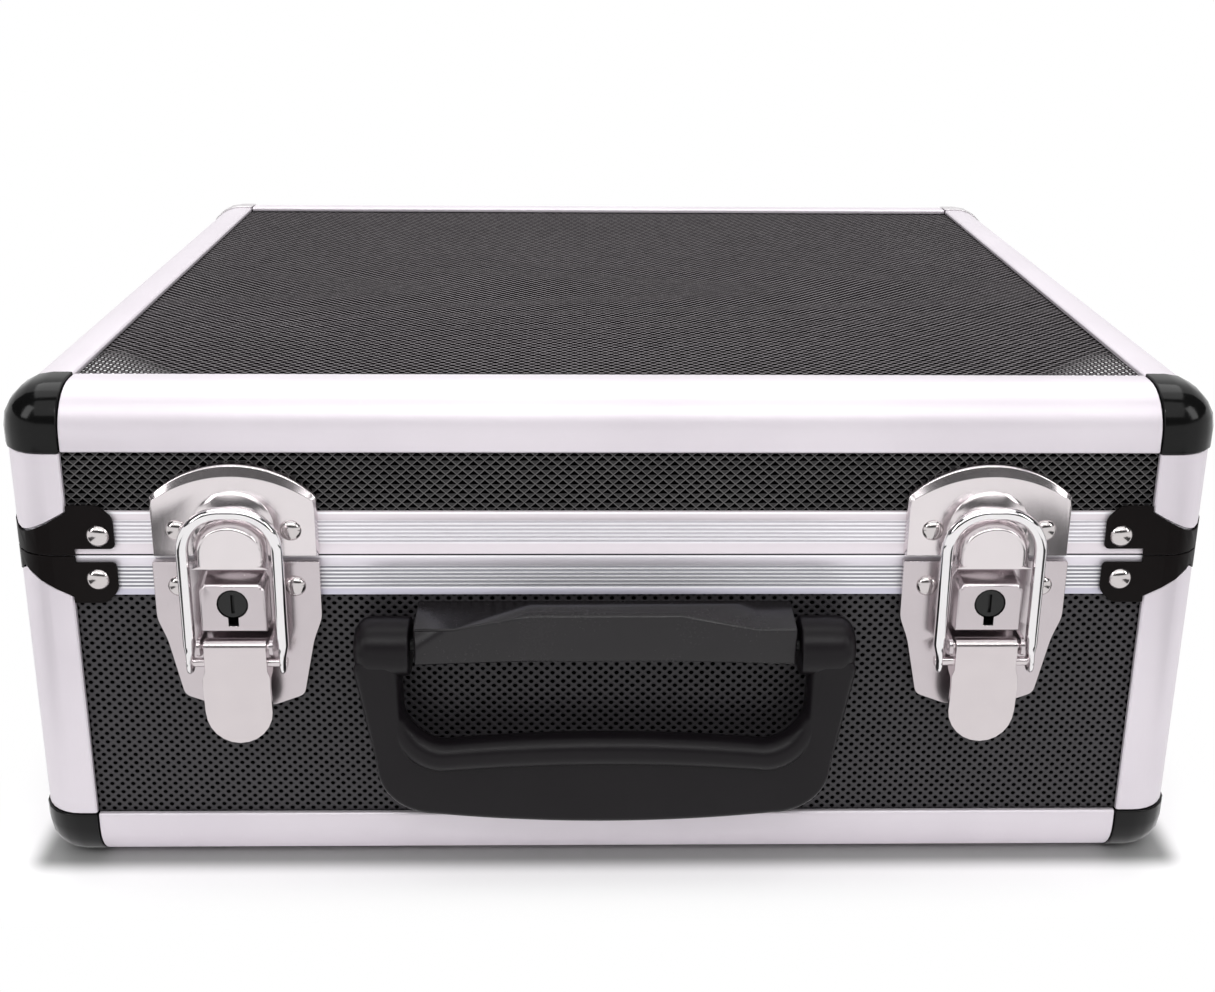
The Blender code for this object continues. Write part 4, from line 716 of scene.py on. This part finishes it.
rings = []
for inner, outer, roll_share in grip_stations():
    inner, outer = Vector(inner), Vector(outer)
    drop = min(-(inner.y + outer.y) / (GRIP_DROP + FLANGE_DROP), 1)
    section = grip_section((outer - inner).length, (13.8 - 3.0 * drop) * MM, 3.0 * MM * roll_share)
    spots = [(inner + (outer - inner).normalized() * across, out) for across, out in section]
    rings.append([(HANDLE_X + spot.x, FRONT_Y - out, PIN_Z + spot.y) for spot, out in spots])
rings += [[(2 * HANDLE_X - x, y, z) for x, y, z in ring] for ring in reversed(rings[:-1])]
parts = [swept(rings)]
for side in (-1, 1):
    profile = [(0, 0), (0, BOSS - 0.5 * MM), (0.15 * MM, BOSS - 0.15 * MM), (0.5 * MM, BOSS)]
    profile += arc((BOSS_LENGTH - BOSS_ROUND, BOSS - BOSS_ROUND), BOSS_ROUND, 90, 0, 10)
    place = (HANDLE_X + side * (HALF - BOSS_LENGTH), FRONT_Y - PIN_OUT, PIN_Z)
    parts.append(spun(profile + [(BOSS_LENGTH, 0)], place, (side, 0, 0), 64))
handle = shown("handle_finished", merged(parts), handle_black, "handle_body", ["handle"], 50)
print("handle about", round(2 * HALF / MM), "mm wide, faces", len(handle.data.polygons))

# %% [markdown]
# ## Catch plates and bails
#
# The catch plate is pressed from one sheet: its arched top is bent back into a sloping lip, which
# narrows towards the ends of the arch, and its strike and the low dome round it are pushed forward.
# A pressed shape is its outline drawn inwards step by step while it rises, so one function stacks
# inset copies of an outline. The bail is one bent wire, flattened at both ends for the lever's pin.

# %% Pressed shapes
def inward(outline):
    """For every point of an outline that runs anticlockwise, the direction that points inside."""
    found = []
    for index, (x, y) in enumerate(outline):
        before, after = Vector(outline[index - 1]), Vector(outline[(index + 1) % len(outline)])
        along = (after - before).normalized()
        found.append(Vector((-along.y, along.x)))
    return found


def pressed(outline, profile, middle, shares=None):
    """Rises through (inset, out) pairs; shares says how much of each inset a point takes part in."""
    directions = inward(outline)
    shares = shares or [1.0] * len(outline)
    rings = []
    for inset, out in profile:
        ring = []
        for (x, y), direction, share in zip(outline, directions, shares):
            spot = Vector((x, y)) + direction * inset * share * MM
            ring.append((middle + spot.x, FRONT_Y - out * MM, SEAM_Z + spot.y))
        rings.append(ring)
    return swept(rings)


PLATE_SIDE, PLATE_BOTTOM, PLATE_CORNER = 17.2 * MM, 0.3 * MM, 1.6 * MM
LIP = [(0, -1.6), (0, -0.2), (0.12, 0.16), (0.35, 0.38), (0.6, 0.48), (0.8, 0.54), (2.85, 1.40),
       (3.1, 1.47), (3.5, 1.5)]
STRIKE = [(0, 0.9), (0, 5.9), (0.1, 6.25), (1.55, 8.2), (1.75, 8.42), (2.1, 8.56), (2.6, 8.6)]
EMBOSS = [(2.9, 0), (2.9, 3.0), (2.8, 4.2), (2.5, 5.3), (1.55, 7.7), (0.62, 9.7), (0.1, 10.6), (-0.4, 11.0)]
WIRE = 1.65 * MM
FLAT_END = [  # height above the end, half thickness across the latch, half width out from it
    (0.0, 0.25, 0.5), (0.3, 0.70, 1.5), (0.9, 0.95, 2.2), (1.9, 1.0, 2.8), (3.0, 1.0, 3.0),
    (4.2, 1.0, 2.75), (5.4, 1.1, 2.2), (6.8, 1.4, 1.8), (8.2, 1.65, 1.65),
]
print("steps of the lip", len(LIP), "of the strike", len(STRIKE))

# %% Catch plates and bails
for side in ("left", "right"):
    low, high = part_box(f"{side}_catch_plate")
    half, top = (high.x - low.x) / 2, high.z - SEAM_Z
    middle = (low.x + high.x) / 2
    drop = top - PLATE_SIDE
    radius = (half ** 2 + drop ** 2) / (2 * drop)
    sweep = math.degrees(math.asin(half / radius))
    arch = arc((0, top - radius), radius, 90 - sweep * 0.955, 90 + sweep * 0.955, 48)
    right_side = [(half, PLATE_BOTTOM + 0.4 * MM)] + [(half, PLATE_SIDE * step / 6) for step in range(1, 6)]
    right_side += arc((half - PLATE_CORNER, arch[0][1] - 1.5 * MM), PLATE_CORNER, 0, 55, 4)
    foot = [(-half + 0.4 * MM + (2 * half - 0.8 * MM) * step / 12, PLATE_BOTTOM) for step in range(13)]
    left_side = [(-x, z) for x, z in reversed(right_side)]
    outline = foot + right_side + arch + left_side
    shares = []
    for x, z in outline:
        on_arch = min(max((z - PLATE_SIDE + 2 * MM) / (drop + 2 * MM), 0), 1)
        shares.append(0.16 + 0.84 * on_arch ** 0.8)
    plate = pressed(outline, LIP, middle, shares)
    bail_low, bail_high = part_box(f"{side}_bail")
    bail_half, bend = (bail_high.x - bail_low.x) / 2 - WIRE, 10.5 * MM
    spring = bail_high.z - WIRE - bend
    strike_top = bail_high.z - 2 * WIRE - 0.4 * MM - SEAM_Z
    strike_arch = arc((0, spring - SEAM_Z), (9.7 * MM, strike_top - spring + SEAM_Z), 0, 180, 40)
    strike_sides = [(9.7 * MM, z * MM) for z in (-0.3, 1.0, 2.5, 3.6)]
    strike_outline = strike_sides + strike_arch + [(-x, z) for x, z in reversed(strike_sides)]
    strike_shares = [1.0 if z > 0 else 0.25 for x, z in strike_outline]
    strike = pressed(strike_outline, STRIKE, middle, strike_shares)
    dome = spun([(out * MM, radius * MM) for out, radius in EMBOSS],
                (middle, FRONT_Y - 1.5 * MM, SEAM_Z + 8.5 * MM), (0, -1, 0), 64)
    shown(f"{side}_catch_plate_finished", merged([plate, strike, dome]), plate_chrome, "lid",
          [f"{side}_catch_plate"], 40)

    stations = [(bail_half, bail_low.z + up * MM, 0, wide * MM, deep * MM) for up, wide, deep in FLAT_END]
    for angle in range(0, 91, 4):
        x, z = arc((bail_half - bend, spring), bend, angle, angle, 1)[0]
        stations.append((x, z, math.radians(angle), WIRE, WIRE))
    rings = []
    for x, z, lean, wide, deep in stations:
        ring = []
        for across, out in arc((0, 0), (wide, deep), 0, 345, 23):
            ring.append((x + across * math.cos(lean), (bail_low.y + bail_high.y) / 2 - out,
                         z + across * math.sin(lean)))
        rings.append(ring)
    rings += [[(-x, y, z) for x, y, z in ring] for ring in reversed(rings)]
    rings = [[(middle + x, y, z) for x, y, z in ring] for ring in rings]
    shown(f"{side}_bail_finished", swept(rings), wire_chrome, f"{side}_bail_body",
          [f"{side}_bail"], 60)
print("pieces so far", len(pieces))

# %% [markdown]
# ## Rivets
#
# The latches, seam corners and hinge leaves are held by solid rivets with low domed heads. A head
# is half a profile turned round its axis: spin makes the closed skin in one step, and the disc at
# its foot sinks slightly into the plate, as a set rivet does.

# %% Rivet heads
def rivet_head(shape, place, direction, radius, height):
    """Adds a domed head to a bmesh, standing on a surface at a place and facing a direction."""
    profile = [(0, height), (radius * 0.35, height * 0.95), (radius * 0.66, height * 0.76),
               (radius * 0.88, height * 0.45), (radius, height * 0.12), (radius, -height * 0.25)]
    points = [shape.verts.new((across, 0, out)) for across, out in profile]
    edges = [shape.edges.new(pair) for pair in zip(points, points[1:])]
    made = bmesh.ops.spin(
        shape, geom=points + edges, cent=(0, 0, 0), axis=(0, 0, 1), dvec=(0, 0, 0),
        angle=math.tau, steps=28, use_merge=True, use_normal_flip=False, use_duplicate=False,
    )
    head = list({vert for face in shape.faces for vert in face.verts if not vert.tag})
    bmesh.ops.remove_doubles(shape, verts=head, dist=0.002 * MM)
    head = [vert for vert in shape.verts if not vert.tag]
    rim = [edge for edge in shape.edges if edge.is_boundary and not edge.verts[0].tag]
    bmesh.ops.holes_fill(shape, edges=rim, sides=0)
    turn = Vector((0, 0, 1)).rotation_difference(Vector(direction)).to_matrix().to_4x4()
    bmesh.ops.transform(shape, verts=head, matrix=Matrix.Translation(place) @ turn)
    for vert in head:
        vert.tag = True


def rivets(name, body, spots, radius, height):
    """One piece with all the heads that a part of the case carries; spots are (place, direction)."""
    shape = bmesh.new()
    for place, direction in spots:
        rivet_head(shape, place, direction, radius, height)
    bmesh.ops.recalc_face_normals(shape, faces=shape.faces)
    return shown(name, shape, painted_shade_rivet_chrome, body)


low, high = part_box("base_band")
LEFT_X, RIGHT_X, REAR_Y = low.x - 0.8 * MM, high.x + 0.8 * MM, high.y + 0.8 * MM
LATCH_X = (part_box("right_lock_plate")[0].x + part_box("right_lock_plate")[1].x) / 2
ROWS = {"lid": (8.1 * MM, 24.5 * MM, 5.9 * MM), "base": (-7.9 * MM, 23.5 * MM, -6.6 * MM)}
LATCH_RIVET_X = {"lid": 14.9 * MM, "base": 15.3 * MM}
for layer, (latch_rise, reach, corner_rise) in ROWS.items():
    spots = []
    for side_x, face_x in ((-1, LEFT_X), (1, RIGHT_X)):
        for side_y, face_y in ((-1, FRONT_Y), (1, REAR_Y)):
            height = SEAM_Z + corner_rise
            spots.append(((face_x - side_x * reach, face_y + side_y * 0.3 * MM, height), (0, side_y, 0)))
            spots.append(((face_x + side_x * 0.3 * MM, face_y - side_y * reach, height), (side_x, 0, 0)))
    rivets(f"{layer}_corner_rivets", layer, spots, 3.0 * MM, 1.4 * MM)
    spots = []
    for centre in (-LATCH_X, LATCH_X):
        for side in (-1, 1):
            place = (centre + side * LATCH_RIVET_X[layer], FRONT_Y - 1.5 * MM, SEAM_Z + latch_rise)
            spots.append((place, (0, -1, 0)))
    rivets(f"{layer}_latch_rivets", layer, spots, 2.9 * MM, 1.5 * MM)
    spots = []
    for index in range(-4, 5):
        place = (index * 27 * MM, REAR_Y + 0.45 * MM, SEAM_Z + (1 if layer == "lid" else -1) * 7.2 * MM)
        spots.append((place, (0, 1, 0)))
    rivets(f"{layer}_hinge_rivets", layer, spots, 1.9 * MM, 0.9 * MM)
print("rivet pieces", len([name for name in pieces if name.endswith("rivets")]))

# %% [markdown]
# ## Lining
#
# Inside, the base is a tub of thin foam faced with dark cloth, and the lid holds a sheet of foam
# cut into rounded peaks that press on the contents. The tub is a box whose top face is inset and
# pushed down to the floor. The foam's peaks are two crossed waves on a fine grid, which is then
# given its thickness.

# %% Lining pieces
def cloth(name, colour, lighter):
    made = Finish(name)
    spot, _ = made.place()
    nap = made.noise(spot, 2600, 4, 0.75)
    clouds = made.noise(spot, 38, 3)
    made.set(Base_Color=made.mix(nap * 0.6 + clouds * 0.4, colour, lighter))
    made.set(Roughness=0.9 - nap * 0.1, Sheen_Weight=0.4, Sheen_Roughness=0.5)
    made.bump(nap, 0.00025, 0.8)
    return made.material


lining_cloth = cloth("lining_cloth", (0.016, 0.016, 0.018), (0.050, 0.050, 0.054))
lining_foam = cloth("lining_foam", (0.022, 0.022, 0.024), (0.070, 0.070, 0.076))
INNER_X = RIGHT_X - 8.7 * MM
INNER_FRONT, INNER_REAR = FRONT_Y + 8.7 * MM, REAR_Y - 8.7 * MM
INNER_MIDDLE = (INNER_FRONT + INNER_REAR) / 2


def tub(floor_z, rim_z, wall, floor_thickness):
    """A lined box, open towards the rim, with rounded corners."""
    shape = bmesh.new()
    size = (2 * INNER_X, INNER_REAR - INNER_FRONT, abs(rim_z - floor_z))
    middle = (0, INNER_MIDDLE, (floor_z + rim_z) / 2)
    bmesh.ops.create_cube(shape, size=1, matrix=Matrix.Translation(middle) @ Matrix.Diagonal((*size, 1)))
    upright = [edge for edge in shape.edges if abs(edge.verts[0].co.z - edge.verts[1].co.z) > MM]
    bmesh.ops.bevel(shape, geom=upright, offset=3 * MM, offset_type="OFFSET", segments=4,
                    profile=0.5, affect="EDGES", material=-1)
    mouth = max(shape.faces, key=lambda face: (1 if rim_z > floor_z else -1) * face.calc_center_median().z)
    bmesh.ops.inset_region(shape, faces=[mouth], thickness=wall, use_even_offset=True)
    sunk = bmesh.ops.extrude_discrete_faces(shape, faces=[mouth])["faces"][0]
    down = floor_z + (1 if rim_z > floor_z else -1) * floor_thickness - rim_z
    bmesh.ops.translate(shape, verts=sunk.verts, vec=(0, 0, down))
    bmesh.ops.recalc_face_normals(shape, faces=shape.faces)
    return shape


base_tub = tub(8.7 * MM, SEAM_Z - 2.0 * MM, 1.0 * MM, 1.6 * MM)
base_lining = shown("base_lining", base_tub, lining_cloth, "base")
rounded_edges(base_lining, 0.35 * MM, 2)
TOP_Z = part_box("lid_top_board")[0].z - 1.7 * MM
lid_tub = tub(TOP_Z, SEAM_Z + 2.0 * MM, 1.0 * MM, 1.0 * MM)
lid_lining = shown("lid_lining", lid_tub, lining_cloth, "lid")
rounded_edges(lid_lining, 0.35 * MM, 2)

PEAK_STEP, PEAK_RISE = 24 * MM, 4.5 * MM
foam = bmesh.new()
half_x, half_y = INNER_X - 1.6 * MM, (INNER_REAR - INNER_FRONT) / 2 - 1.6 * MM
foam_back = TOP_Z - 1.4 * MM
bmesh.ops.create_grid(foam, x_segments=118, y_segments=94, size=1, matrix=Matrix.Translation(
    (0, INNER_MIDDLE, foam_back)) @ Matrix.Diagonal((half_x, half_y, 1, 1)))
skin = list(foam.faces)
under = bmesh.ops.extrude_face_region(foam, geom=skin)["geom"]
for vert in [item for item in under if isinstance(item, bmesh.types.BMVert)]:
    wave = math.cos(math.pi * vert.co.x / PEAK_STEP) * math.cos(math.pi * vert.co.y / PEAK_STEP)
    vert.co.z = foam_back - 10 * MM - PEAK_RISE * wave
bmesh.ops.recalc_face_normals(foam, faces=foam.faces)
lid_foam = shown("lid_foam", foam, lining_foam, "lid", smooth_degrees=60)
print("foam faces", len(lid_foam.data.polygons))

# %% [markdown]
# ## Sizes, and the end
#
# The dressed case has to fill the same box as the bare frame, so the sizes of both boxes are printed.

# %% Sizes and finish
dressed_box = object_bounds()
print("sizes in mm", [[round(high - low, 2) for low, high in zip(*[[v / MM for v in c] for c in box])]
                      for box in (cad_box, dressed_box)])
